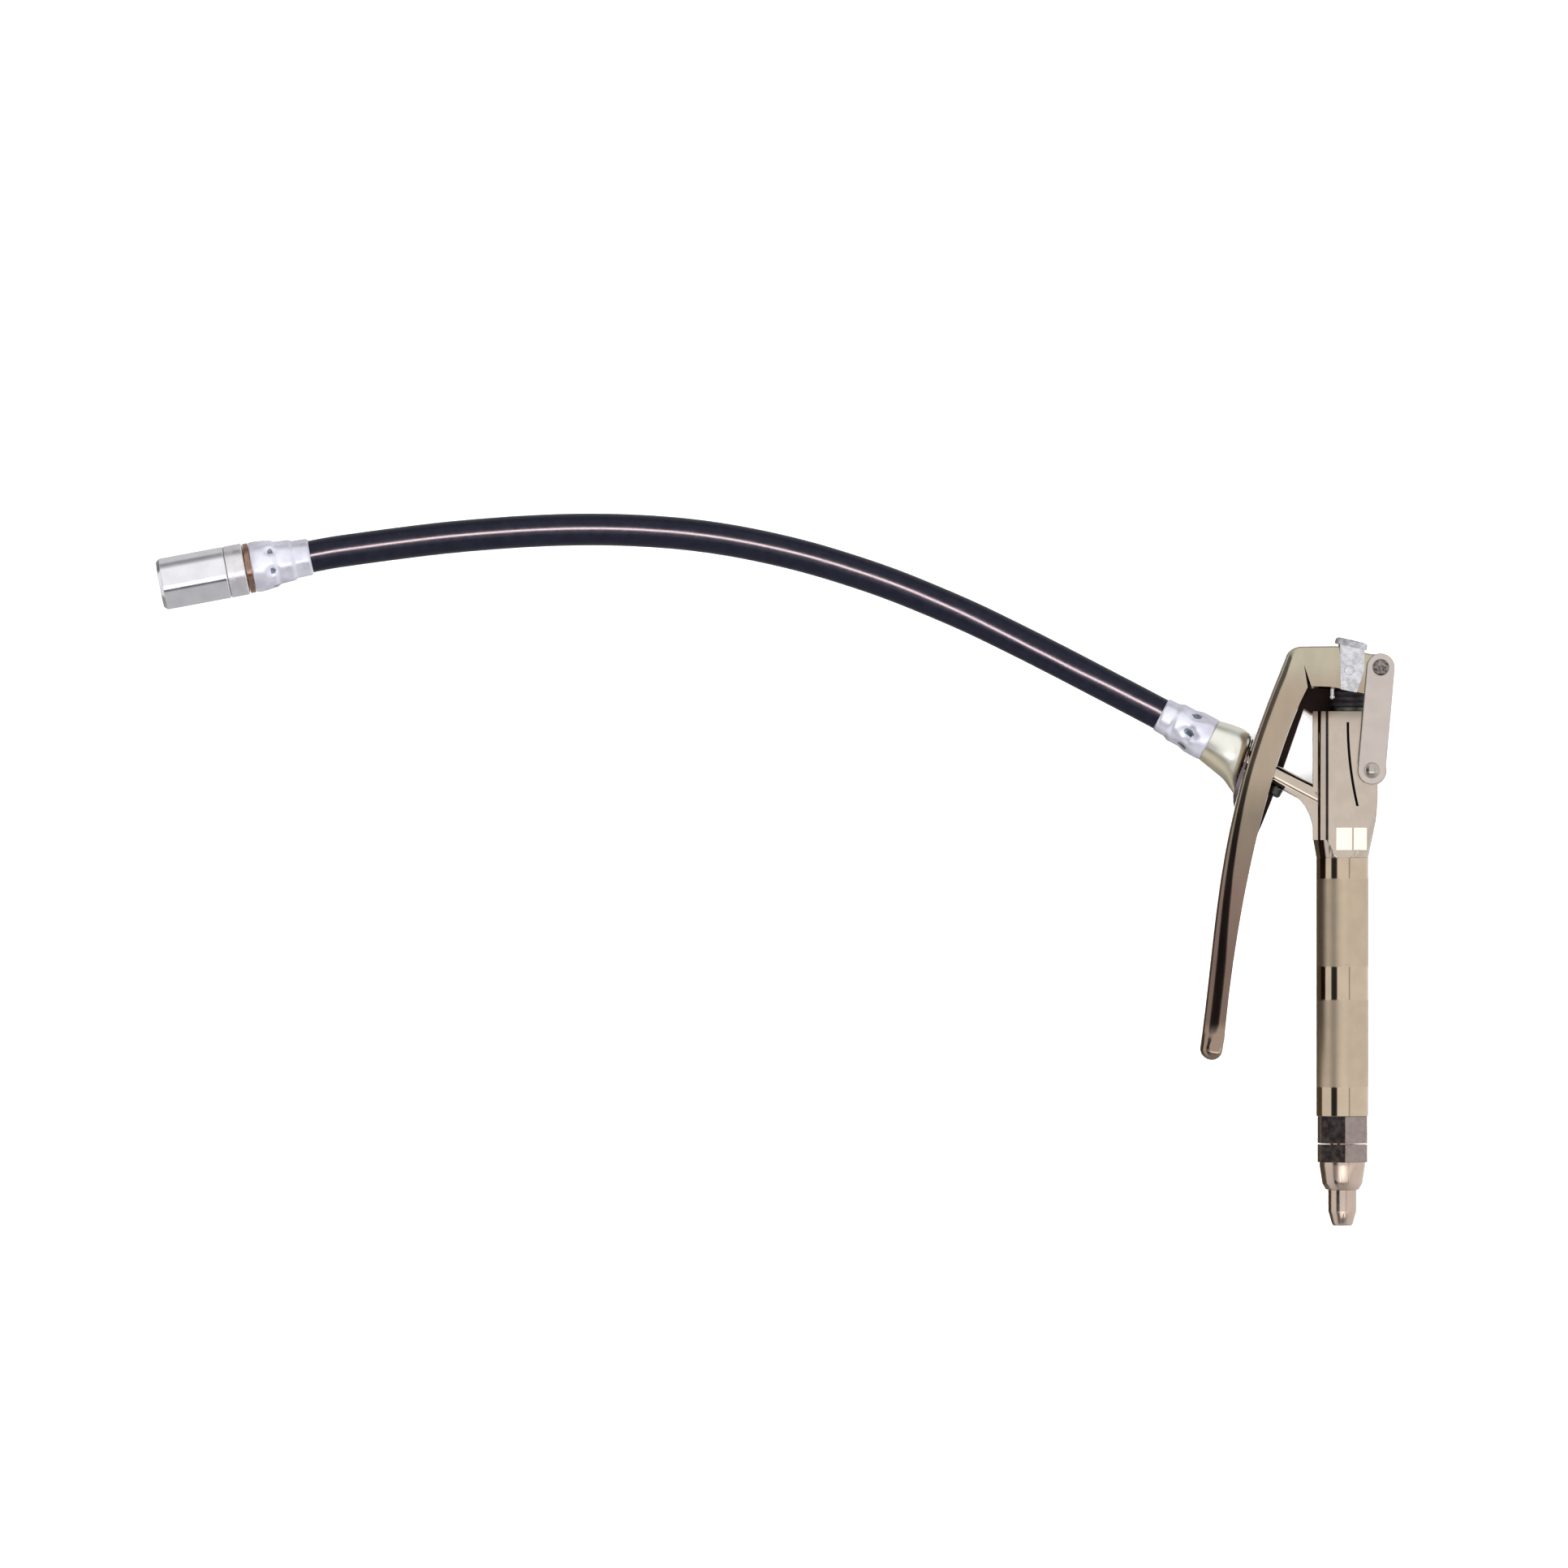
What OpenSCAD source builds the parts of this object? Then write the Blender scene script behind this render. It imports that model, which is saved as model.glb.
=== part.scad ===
// Hand-operated booster grease gun with a whip hose and a grease-fitting coupler.
// It lies on its side: +X points away from the hose, +Y runs up the grip to the lever's pivot,
// +Z is up. The origin is under the middle of the gun, without its hose, on the surface it lies on.

/* [Grip] */
// Outside diameter of the grip tube
grip_d = 17.8; // [17:0.1:18.2]
// Wall of the grip tube
grip_wall = 1.65; // [1.4:0.05:1.65]
// Height at which the grip tube starts, above the inlet's tip
grip_low = 37.5; // [36:0.5:39]
// Height at which the grip tube ends in the body
grip_high = 126; // [124:0.5:127]

/* [Body] */
// Half depth of the body's barrel
barrel_r = 8.7; // [8.2:0.1:8.8]
// Height of the body's flat top
body_top = 176; // [174:0.5:177]
// Half depth of the lug that carries the lower link pin
lug_half = 7.8; // [6.5:0.1:8]
// Radius of the round arm that carries the outlet
arm_r = 3.4; // [3.2:0.1:3.6]

/* [Lever] */
// Thickness of the lever's sheet steel
sheet = 1.5; // [1.2:0.1:1.6]
// Half the clear width inside the lever's channel
channel_half = 9.4; // [9.3:0.05:9.5]
// Thickness of each link plate
link_t = 2.2; // [1.8:0.1:2.3]
// Half width of a link plate, and the radius of its ends
link_r = 4.8; // [4.5:0.1:5]

/* [Pump] */
// Radius of the pump plunger
plunger_r = 3; // [2.5:0.1:3]
// Radial clearance of a running fit
fit = 0.05; // [0.03:0.01:0.08]

/* [Inlet] */
// Width of the inlet hexagons across their flats
hex_af = 16.1; // [15:0.1:17]
// Radius of the inlet's 1/8 in pipe thread over its crests
inlet_r = 4.86; // [4.8:0.01:4.9]

/* [Hose and coupler] */
// Outside diameter of the hose
hose_d = 11; // [10:0.5:12]
// Radius of the coupler's sleeve
coupler_r = 8.9; // [8.5:0.1:8.9]
// Radius of the coupler's mouth
mouth_r = 3.6; // [3.5:0.05:3.8]

/* [Hidden] */
$fn = 64;
cut = 0.01;            // overshoot of a cutting shape past a face
snug = 0.03;           // gap between pieces that are screwed or pressed together

// Places are given as [across, up] from the inlet's tip on the grip's axis, and moved by gun().
gun_mid = [-15.73, 100.75];
gun_z = 15;            // height of the gun's middle plane above the surface it lies on

link_top = [12.8, 191];    // upper link pin, on which the lever swings
link_low = [9.7, 155.8];   // lower link pin, in the body's lug
yoke_at = [2, 190];        // pin between the lever and the plunger's eye
pin_r = 2;
yoke_r = 1.6;
eye_play = 0.14;           // clearance of the plunger's eye, which takes up the linkage's error
plunger_x = yoke_at[0];
link_in = 11.3;            // inner face of the link plates
pin_end = 15;              // far end of the link pins
through = 20;              // half length of a bore cut across the whole gun

// Heights up the plunger's bore, and the radii of what it holds.
plunger_low = 146;
gland_r = 5.75;
gland_low = body_top - 6;
gland_top = body_top + 1.4;
seal_r = 4.6;
seal_low = 165.5;
pump_low = 139.5;
seat_low = body_top + 5.8; // the return spring's seat on the plunger
seat_t = 1.1;

// Heights up the grip's axis, and the radii of the inlet valve.
spigot_low = grip_high - 14;
valve_r = 5;
valve_low = spigot_low - 1;
valve_top = 117.5;
ball_r = 3;
ball_room_r = 3.6;
ball_room_top = 127;
passage_r = 1.9;

// Heights of the inlet swivel.
hex_turn = 5;
hex_low = 21.7;
hex_high = 27.8;
collar_low = 28.2;
collar_top = 47;
journal_top = 49;
journal_r = 4.05;
oring_low = 34;
ring_low = 47.2;

// The outlet axis: a point on it, its direction, and the distances along it.
outlet_from = [-8.9, 146.7];
outlet_turn = 152;
arm_end = 30;
boss_low = 28.4;
boss_end = 41.5;
boss_seat = arm_end + 1.1; // where the outlet ball rests
stem_low = 37;             // inner end of the hose stem
stem_r = 4.2;
gun_ferrule_end = 60.4;
outlet_bore = 1.4;
outlet_ball_r = 2.4;
outlet_room_r = 3.2;

// The coupler's axis, from the hose's end.
coupler_from = [-337.5, 128.3];
coupler_turn = 190.6;
coupler_z = 8.95;
coupler_ferrule_end = 20.3;
coupler_body_low = 22.6;
coupler_step = 29.1;
coupler_end = 52.6;
coupler_bore = 6.2;
coupler_stem_r = 3.9;
coupler_stem_end = coupler_body_low + 5.2;
mouth_length = 1.6;
spring_low = 31.8;
core_from = 38;            // outer end of the coupler's spring, where its piston starts
seal_t = 1.4;
hose_bore = 2.6;
hose_passage = 1.5;        // radius of the grease passage through a hose stem

// The hose's route from the gun's ferrule to the coupler's, in the row's frame.
hose_route = [
    [-46.5, 74.3, 15], [-55, 78.8, 15], [-69, 86.1, 14.1], [-83, 93.4, 11.6], [-97, 100.5, 8.8],
    [-111, 107.3, 6.7], [-125, 113.4, 5.7], [-139, 119, 5.5], [-153, 123.8, 5.5],
    [-167, 128, 5.5], [-181, 131.4, 5.5], [-195, 134.1, 5.5], [-209, 136, 5.5],
    [-223, 137.1, 5.5], [-237, 137.6, 5.5], [-251, 137.5, 5.5], [-265, 136.9, 5.5],
    [-279, 135.9, 5.6], [-293, 134.6, 6.1], [-307, 132.9, 7.2], [-321, 131, 8.4],
    [-330, 129.7, 8.9], [-337.5, 128.3, 8.95]];
hose_sides = 10;

module gun() { translate([-gun_mid[0], -gun_mid[1], gun_z]) children(); }

// Puts local z along a direction in the row's XY plane, at a distance along that axis.
module along(from, turn, at = 0) {
    translate([from[0], from[1], 0]) rotate([0, 0, turn]) rotate([0, 90, 0]) translate([0, 0, at])
        children();
}
module upright(x, y) { along([x, y], 90) children(); }
module on_outlet(at) { gun() along(outlet_from, outlet_turn, at) children(); }
module on_coupler(at) {
    translate([0, 0, coupler_z]) along(coupler_from, coupler_turn, at) children();
}

// A bore across the whole gun.
module across(at, r) { translate([at[0], at[1], -through]) cylinder(r = r, h = 2 * through); }
module rod(r, h) { cylinder(r = r, h = h); }
module tube(outer, inner, h) {
    difference() {
        rod(outer, h);
        translate([0, 0, -cut]) rod(inner, h + 2 * cut);
    }
}

// A cubic curve through its first and last points.
function bezier(a, b, c, d, n) = [for (i = [0:n]) let (t = i / n, s = 1 - t)
    s * s * s * a + 3 * s * s * t * b + 3 * s * t * t * c + t * t * t * d];
function arc(centre, r, from, to, n) = [for (i = [0:n])
    let (angle = from + (to - from) * i / n) centre + r * [cos(angle), sin(angle)]];
function reversed(points) = [for (i = [len(points) - 1:-1:0]) points[i]];
function unit(v) = v / norm(v);
function left_of(points, i) = let (
    before = points[max(i - 1, 0)], after = points[min(i + 1, len(points) - 1)],
    run = unit(after - before)) [-run[1], run[0]];
function moved_left(points, by) = [for (i = [0:len(points) - 1]) points[i] + by * left_of(points, i)];

// A round tube swept along points; its rings stay square to the path.
module sweep(path, r, sides) {
    last = len(path) - 1;
    rings = [for (i = [0:last]) let (
        run = unit(path[min(i + 1, last)] - path[max(i - 1, 0)]),
        side = unit(cross(run, [0, 0, 1])), over = cross(side, run))
        [for (k = [0:sides - 1]) let (angle = 360 * k / sides)
            path[i] + r * (cos(angle) * side + sin(angle) * over)]];
    walls = [for (i = [0:last - 1], k = [0:sides - 1]) let (
        a = i * sides + k, b = i * sides + (k + 1) % sides)
        [a, b, b + sides, a + sides]];
    polyhedron([for (ring = rings, p = ring) p],
        concat(walls, [[for (k = [sides - 1:-1:0]) k], [for (k = [0:sides - 1]) last * sides + k]]));
}

// A coil spring of round wire standing on z = 0, as tall as given, with its wire's thickness.
module coil_spring(r, wire, height, turns) {
    per_turn = 14;
    steps = turns * per_turn;
    sides = 6;
    climb = height - 2 * wire;
    rings = [for (i = [0:steps]) let (angle = 360 * i / per_turn)
        [for (k = [0:sides - 1]) let (turn = 360 * k / sides, reach = r + wire * cos(turn))
            [reach * cos(angle), reach * sin(angle), wire + climb * i / steps + wire * sin(turn)]]];
    walls = [for (i = [0:steps - 1], k = [0:sides - 1]) let (
        a = i * sides + k, b = i * sides + (k + 1) % sides)
        [a, a + sides, b + sides, b]];
    polyhedron([for (ring = rings, p = ring) p],
        concat(walls, [[for (k = [0:sides - 1]) k], [for (k = [sides - 1:-1:0]) steps * sides + k]]));
}

// ---- Body ----

// The long curve along which the barrel meets the lug.
seam_r = 124;
seam_at = [1.4, 172];

neck_h = 6;                // height over which the barrel narrows to the grip

// Near half of the barrel's section, from its flat face to the flange along its left side.
face_from = -4.1;
face_round = 4;
slope = 33;
slope_end = [-7.4, barrel_r - 1.37];
side_round = 2.6;
flange = [-10.1, 3];
barrel_half = concat(
    arc([face_from, barrel_r - face_round], face_round, 90, 90 + slope, 5),
    arc(slope_end + side_round * [sin(slope), -cos(slope)], side_round, 90 + slope, 180, 6),
    [[slope_end[0] + side_round * (sin(slope) - 1), flange[1]], flange]);
module barrel() {
    low = grip_high + neck_h;
    far_half = [for (p = reversed(barrel_half)) [p[0], -p[1]]];
    right = 12.6;
    difference() {
        translate([0, body_top, 0]) rotate([90, 0, 0]) linear_extrude(body_top - low)
            polygon(concat([[right, -barrel_r], [right, barrel_r]], barrel_half, far_half));
        translate([seam_at[0] + seam_r, seam_at[1], -through])
            cylinder(r = seam_r, h = 2 * through, $fn = 180);
    }
}

// Groove along the seam on the near side, and two flats for a spanner on the neck.
module seam_groove() {
    low = 143.6;
    intersection() {
        translate([seam_at[0] + seam_r, seam_at[1], lug_half - 0.8]) difference() {
            cylinder(r = seam_r + 0.2, h = 3, $fn = 180);
            translate([0, 0, -1]) cylinder(r = seam_r - 0.7, h = 5, $fn = 180);
        }
        translate([0, low, 0]) cube([10, 172.3 - low, through]);
    }
}
module neck_flats() {
    side = [[128.6, 4], [136.2, 4], [136.2, barrel_r + 1.35], [128.6, barrel_r + 0.1]];
    for (across = [[-2.3, 5.3], [3.7, 4.4]])
        translate([across[0], 0, 0]) rotate([90, 0, 90]) linear_extrude(across[1]) polygon(side);
}
module lug() {
    boss = link_in - 0.2;
    edge = [[-1, body_top], [8.6, body_top], [9.2, 165], [10.4, 160], [11.9, 153], [11.9, 145],
        [11.2, 138], [10, 132], [8.8, grip_high], [-1, grip_high]];
    intersection() {
        translate([0, 0, -lug_half]) linear_extrude(2 * lug_half) polygon(edge);
        upright(0, grip_high) cylinder(r1 = grip_d / 2, r2 = grip_d / 2 + 15, h = 50);
    }
    translate([link_low[0], link_low[1], -boss]) cylinder(r = 5.2, h = 2 * boss);
}
module neck() {
    intersection() {
        upright(0, grip_high) cylinder(r1 = grip_d / 2, r2 = 10, h = neck_h + cut);
        translate([-barrel_r - 5, grip_high, -barrel_r]) cube([30, neck_h + 1, 2 * barrel_r]);
    }
}
module arm_rib() {
    half = 3;
    curve = bezier([-20, 149.3], [-13.2, 145.7], [-10.6, 143], [-9, 130], 8);
    translate([0, 0, -half]) linear_extrude(2 * half)
        polygon(concat(curve, [[-2, 130], [-2, 146], [-10, 150], [-18, 154]]));
}
module body_casting() {
    arm_root = -4;         // the arm starts inside the barrel
    drill_from = -12.2;    // the gallery is drilled from the pump's bore
    color("tan") difference() {
        union() {
            gun() {
                barrel();
                lug();
                neck();
                neck_flats();
                arm_rib();
                upright(0, spigot_low) rod(grip_d / 2 - grip_wall - snug, grip_high - spigot_low + 1);
            }
            on_outlet(arm_root) rod(arm_r, arm_end - arm_root);
        }
        gun() {
            upright(plunger_x, gland_low) rod(gland_r, body_top - gland_low + 1);
            upright(plunger_x, seal_low) rod(seal_r, gland_low - seal_low + 1);
            upright(plunger_x, pump_low) rod(plunger_r + fit, seal_low - pump_low + 1);
            upright(0, ball_room_top - 1) rod(passage_r - 0.1, pump_low - ball_room_top + 2.5);
            upright(0, valve_top) rod(ball_room_r, ball_room_top - valve_top);
            upright(0, valve_low) rod(valve_r, valve_top - valve_low);
            across(link_low, pin_r + fit);
            seam_groove();
        }
        on_outlet(drill_from) rod(outlet_bore, arm_end + 1 - drill_from);
        on_gallery_plug() translate([0, 0, -2.2]) rod(plug_r + snug, 4);
    }
}

module grip_tube() {
    color("tan") gun() upright(0, grip_low)
        tube(grip_d / 2, grip_d / 2 - grip_wall, grip_high - grip_low);
}
module gland_nut() {
    color("dimgray") gun() upright(plunger_x, 0) difference() {
        union() {
            translate([0, 0, gland_low + cut]) rod(gland_r - snug, body_top - gland_low);
            translate([0, 0, body_top + cut]) rod(6.6, gland_top - body_top);
        }
        translate([0, 0, gland_low - 1]) rod(plunger_r + fit, 10);
    }
}
module plunger_seal() {
    color("black") gun() upright(plunger_x, seal_low + 0.1)
        tube(seal_r - fit, plunger_r + fit, gland_low - seal_low - 0.3);
}

// Three folds of rubber from the gland nut to a lid around the plunger.
module dust_boot() {
    folds = 3;
    fold = 2.05;
    inner = 5.15;
    neck = 5.7;
    outer = 6.35;
    top = folds * fold;
    lid = 0.5;
    color("black") gun() upright(plunger_x, gland_top + 2 * cut) rotate_extrude() polygon(concat(
        [[inner, 0]],
        [for (i = [0:folds - 1]) each [[neck, i * fold], [outer, i * fold + 0.5],
            [outer, i * fold + fold - 0.6], [neck, i * fold + fold - 0.1]]],
        [[neck, top + lid], [plunger_r + fit, top + lid], [plunger_r + fit, top], [inner, top]]));
}
module return_spring() {
    low = gland_top + 2 * cut;
    color("gray") gun() upright(plunger_x, low) coil_spring(4.2, 0.45, seat_low - low - 0.08, 3);
}

// ---- Plug under the arm ----

// Local z runs out of the plug's hole, square to the arm, from the arm's surface.
plug_r = 1.27;
module on_gallery_plug() {
    on_outlet(13.8) rotate([-90, 0, 0]) translate([0, 0, arm_r]) children();
}
module gallery_plug() {
    color("darkslategray") on_gallery_plug() {
        translate([0, 0, -1.6]) rod(plug_r, 2);
        translate([0, 0, 0.05]) difference() {
            rotate_extrude() polygon([[0, 0], [2.7, 0], [2.7, 2.4], [2.1, 3.2], [0, 3.2]]);
            translate([0, 0, 2.2]) cylinder(r = 1.4, h = 2, $fn = 6);
        }
    }
}

// ---- Outlet ----
module outlet_boss() {
    socket_end = arm_end + 0.3;
    heel_half = 3;
    color("ivory") difference() {
        union() {
            on_outlet(0) rotate_extrude() polygon(concat([[0, boss_low]],
                arc([5.6, 31.6], 3.2, 270, 350, 8),
                [[8.85, 33.5], [8.6, 36], [7.5, boss_end], [0, boss_end]]));
            gun() translate([0, 0, -heel_half]) linear_extrude(2 * heel_half)
                polygon([[-44, 158], [-44.4, 155.8], [-41.1, 153.1], [-37.9, 149.9],
                    [-37.1, 147.6], [-36.6, 150], [-37, 156]]);
        }
        on_outlet(boss_low - 1) rod(arm_r + snug, socket_end - boss_low + 1);
        on_outlet(socket_end - cut) rod(outlet_bore, boss_seat - socket_end + 1);
        on_outlet(boss_seat) rod(outlet_room_r, stem_low - boss_seat + 1);
        on_outlet(stem_low) rod(stem_r, boss_end);
    }
}
module boss_seal() {
    color("peru") on_outlet(boss_low - 0.75) tube(4.6, arm_r + snug, 0.7);
}
module outlet_ball() {
    rise = sqrt(pow(outlet_ball_r, 2) - pow(outlet_bore, 2));
    color("silver") on_outlet(boss_seat + rise + 2 * cut) sphere(r = outlet_ball_r);
}
module outlet_spring() {
    color("gray") on_outlet(34.3) coil_spring(2.2, 0.3, 3, 3);
}

// ---- Inlet ----
module inlet_seat() {
    color("silver") gun() upright(0, spigot_low) tube(valve_r - snug, passage_r, 5.45);
}
module inlet_ball() {
    rise = sqrt(pow(ball_r, 2) - pow(passage_r, 2));
    color("silver") gun() upright(0, valve_top + rise - 2 * cut) sphere(r = ball_r);
}
module inlet_spring() {
    low = 122.2;
    color("gray") gun() upright(0, low) coil_spring(2.6, 0.35, ball_room_top - low - 0.1, 4);
}
module strainer() {
    cup_r = 5.2;
    cup_h = 24;
    wall = 0.6;
    color("silver") gun() upright(0, journal_top + 1) difference() {
        union() {
            rod(grip_d / 2 - grip_wall - snug, 1);
            rod(cup_r, cup_h);
        }
        translate([0, 0, -cut]) rod(cup_r - wall, cup_h - wall);
        for (row = [1:5], step = [0:5])
            translate([0, 0, 4 * row]) rotate([0, 90, 60 * step]) cylinder(r = 0.9, h = cup_r + 1);
    }
}
module hexagon(h) { rotate([0, 0, hex_turn]) cylinder(r = hex_af / sqrt(3), h = h, $fn = 6); }
module swivel_collar() {
    color("dimgray") gun() upright(0, collar_low) difference() {
        union() {
            hexagon(grip_low - collar_low - cut);
            rod(grip_d / 2 - grip_wall - snug, collar_top - collar_low);
        }
        translate([0, 0, -cut]) rod(journal_r + fit, collar_top);
    }
}
module swivel_stem() {
    color("rosybrown") gun() upright(0, 0) difference() {
        union() {
            translate([0, 0, hex_low]) hexagon(hex_high - hex_low);
            rotate_extrude() polygon([[0, 0], [3.2, 0], [3.7, 0.9], [inlet_r, 5], [inlet_r, 12.2],
                [5.7, 12.4], [6.9, 14.5], [7.8, 20.5], [7.8, hex_low], [journal_r, hex_low],
                [journal_r, journal_top], [0, journal_top]]);
        }
        rod(passage_r, journal_top + 1);
        rod(hose_bore, 8);
        translate([0, 0, oring_low]) tube(6, 2.6, 1.6);
        translate([0, 0, ring_low]) tube(6, 3.3, 0.9);
    }
}
module swivel_oring() {
    color("black") gun() upright(0, oring_low + 0.8) rotate_extrude() translate([3.33, 0])
        circle(r = 0.7, $fn = 24);
}
module swivel_ring() {
    color("gray") gun() upright(0, ring_low + 0.05) difference() {
        tube(5.6, 3.33, 0.8);
        translate([0, -1.2, -1]) cube([8, 2.4, 3]);
    }
}

// ---- Links ----
module link_plate() {
    span = norm(link_top - link_low);
    lean = atan2(link_top[1] - link_low[1], link_top[0] - link_low[0]);
    translate([link_low[0], link_low[1], 0]) rotate([0, 0, lean]) difference() {
        union() {
            cylinder(r = link_r, h = link_t);
            translate([span, 0, 0]) cylinder(r = link_r, h = link_t);
            translate([0, cut - link_r, 0]) cube([span, 2 * (link_r - cut), link_t]);
        }
        for (end = [0, span]) translate([end, 0, -1]) cylinder(r = pin_r + snug, h = link_t + 2);
    }
}
module link_plate_near() {
    color("silver") gun() translate([0, 0, link_in]) link_plate();
}
module link_plate_far() {
    color("silver") gun() translate([0, 0, -link_in - link_t]) link_plate();
}

// A pin with a low domed head on the near side and a clip groove near its far end.
module headed_pin(at, head_r) {
    head = link_in + link_t + cut;
    gun() translate([at[0], at[1], 0]) difference() {
        union() {
            translate([0, 0, -pin_end]) cylinder(r = pin_r, h = pin_end + head + cut);
            translate([0, 0, head]) rotate_extrude() polygon(concat([[0, 0], [head_r, 0]],
                arc([head_r - 0.8, 0.5], 0.8, 0, 90, 5), [[0, 1.3]]));
        }
        translate([0, 0, -link_in - link_t - 0.9]) tube(3, 1.4, 0.8);
    }
}
module link_pin_upper() { color("dimgray") headed_pin(link_top, 2.8); }
module link_pin_lower() { color("dimgray") headed_pin(link_low, 2.7); }
module link_pin_clips() {
    color("gray") gun() for (at = [link_top, link_low])
        translate([at[0], at[1], -link_in - link_t - 0.85]) difference() {
            tube(3.2, 1.43, 0.7);
            translate([0, -0.9, -1]) cube([5, 1.8, 3]);
        }
}

// ---- Lever ----
arm_slope = -13;
arm_corner = [-2.5, 198.3];
outer_leg = bezier([-18.9, 195], [-43.9, 136.6], [-41.8, 108.7], [-48.6, 60.4], 20);
inner_leg = bezier([-11.9, 184.7], [-22.2, 166], [-35.6, 119.5], [-40.6, 63.9], 18);
tip = arc([-44.9, 60.4], 3.7, -10, -160, 7);
arm_top = concat([[9.2, 195.6], arm_corner], arc([-14.2, 192.7], 5.5, 90, 146, 5));
hinge_eye = arc(link_top, 4.5, -75, 78, 10);

// The far side is deeper in the corner, where it reaches past the plunger's boot.
far_corner = bezier([-13, 176.4], [-17.5, 163], [-23.2, 146], [-29.9, 131.5], 10);
far_inner = concat(reversed([for (p = inner_leg) if (p[1] < 131) p]), reversed(far_corner),
    [[-10.5, 174.6], [7, 174.4], [11, 178]]);
web_line = concat(arm_top, outer_leg, reversed(tip));

module lever() {
    outer_half = channel_half + sheet;
    color("tan") gun() difference() {
        translate([0, 0, -outer_half]) linear_extrude(2 * outer_half)
            polygon(concat(hinge_eye, web_line, far_inner));
        // The channel's inside, open towards the grip and past the hinge.
        translate([0, 0, -channel_half]) linear_extrude(2 * channel_half)
            polygon(concat([[30, 50], [30, 205], [9.2, 205]], moved_left(web_line, sheet)));
        // The near side is cut back in the corner.
        near_cut()
            polygon(concat([[30, 170], [18, 184], [8.1, 181.9], [-3.9, 184.4]], inner_leg, [[-20, 60]]));
        // Slot that the outlet arm passes through.
        translate([-31.6, 160.4, 0]) rotate([0, 0, -19.5]) arm_slot(8.4, 18.5);
        across(link_top, pin_r + fit);
        across(yoke_at, yoke_r + snug);
        cap_place() translate([0, 0, -10]) rod(cap_stem_r + snug, 20);
        // The notch at which the channel is bent.
        near_cut() polygon([[-13.4, 192], [-10.7, 184], [-12.1, 184]]);
    }
}
module near_cut() { translate([0, 0, channel_half - 1]) linear_extrude(sheet + 2) children(); }
module arm_slot(width, length) {
    reach = (length - width) / 2;
    deep = 6;
    translate([-deep, -reach, -width / 2]) cube([2 * deep, 2 * reach, width]);
    for (end = [-1, 1]) translate([-deep, end * reach, 0]) rotate([0, 90, 0])
        cylinder(r = width / 2, h = 2 * deep);
}

// Local z runs out of the sloping top of the lever's arm, from the saddle's top.
saddle_t = 0.9;
cap_stem_r = 2.4;
module cap_place() {
    at = arm_corner + 5.2 * [cos(arm_slope), sin(arm_slope)];
    along(at, 90 + arm_slope, saddle_t + 2 * snug) children();
}
module saddle_bracket() {
    cheek = channel_half + sheet + snug;
    cheek_out = cheek + 1.2;
    color("lightsteelblue") gun() difference() {
        intersection() {
            translate([arm_corner[0], arm_corner[1], -cheek_out]) rotate([0, 0, arm_slope])
                translate([0, -30, 0]) cube([30, 30 + saddle_t + snug, 2 * cheek_out]);
            translate([0, 0, -cheek_out]) linear_extrude(2 * cheek_out)
                polygon([[-1.2, 205], [7.3, 205], [7.3, 190], [4.6, 182.4], [-0.9, 183.5]]);
        }
        translate([arm_corner[0], arm_corner[1], -cheek]) rotate([0, 0, arm_slope])
            translate([-10, -40, 0]) cube([50, 40 + snug, 2 * cheek]);
        across(yoke_at, yoke_r + snug);
        cap_place() translate([0, 0, -10]) rod(cap_stem_r + snug, 20);
    }
}
module cap_screw() {
    color("lightsteelblue") gun() cap_place() difference() {
        union() {
            rotate_extrude() polygon([[0, 0], [5.6, 0], [5.6, 1.7], [4.9, 2.4], [0, 2.4]]);
            translate([0, 0, -3.6]) rod(cap_stem_r, 4);
        }
        translate([0, 0, 1]) cylinder(r = 2.3, h = 2, $fn = 6);
    }
}
module yoke_pin() {
    half = channel_half + sheet + 1.4;
    color("lightsteelblue") gun() translate([yoke_at[0], yoke_at[1], -half])
        cylinder(r = yoke_r, h = 2 * half);
}
module cotter_pin() {
    color("white") gun() upright(-3.75, 180.9) translate([-channel_half + 0.8, 0, 0]) {
        rod(0.75, 4.6);
        sphere(r = 1);
    }
}

// ---- Plunger ----
module plunger() {
    eye_half = channel_half - 0.5;
    color("silver") gun() difference() {
        union() {
            upright(plunger_x, plunger_low) rod(plunger_r, yoke_at[1] - plunger_low);
            translate([yoke_at[0], yoke_at[1], -eye_half]) cylinder(r = 3.2, h = 2 * eye_half);
        }
        across(yoke_at, yoke_r + eye_play);
        upright(plunger_x, seat_low + seat_t + 0.05) tube(4, 2.5, 0.6);
    }
}
module spring_seat() {
    color("dimgray") gun() upright(plunger_x, seat_low) {
        tube(5, plunger_r + snug, seat_t);
        translate([0, 0, seat_t + 0.1]) tube(3.9, 2.55, 0.45);
    }
}

// ---- Hose ends ----
module gun_hose_stem() {
    low = stem_low + 0.4;
    color("silver") on_outlet(low) difference() {
        union() {
            rod(stem_r - snug, boss_end - low);
            rod(hose_bore, gun_ferrule_end - low);
        }
        translate([0, 0, -1]) rod(hose_passage, 40);
    }
}
module gun_ferrule() {
    base = boss_end + cut;
    color("lightsteelblue") on_outlet(0) rotate_extrude() polygon([[hose_bore + snug, base],
        [7.3, base], [7.65, base + 0.6], [7.65, base + 6], [7, base + 8.4], [6.9, base + 13],
        [6.2, base + 14.5], [6, gun_ferrule_end - 0.6], [5.6, gun_ferrule_end],
        [hose_bore + snug, gun_ferrule_end]]);
}
module hose_tube() {
    color("midnightblue") sweep(hose_route, hose_d / 2, hose_sides);
}
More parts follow.
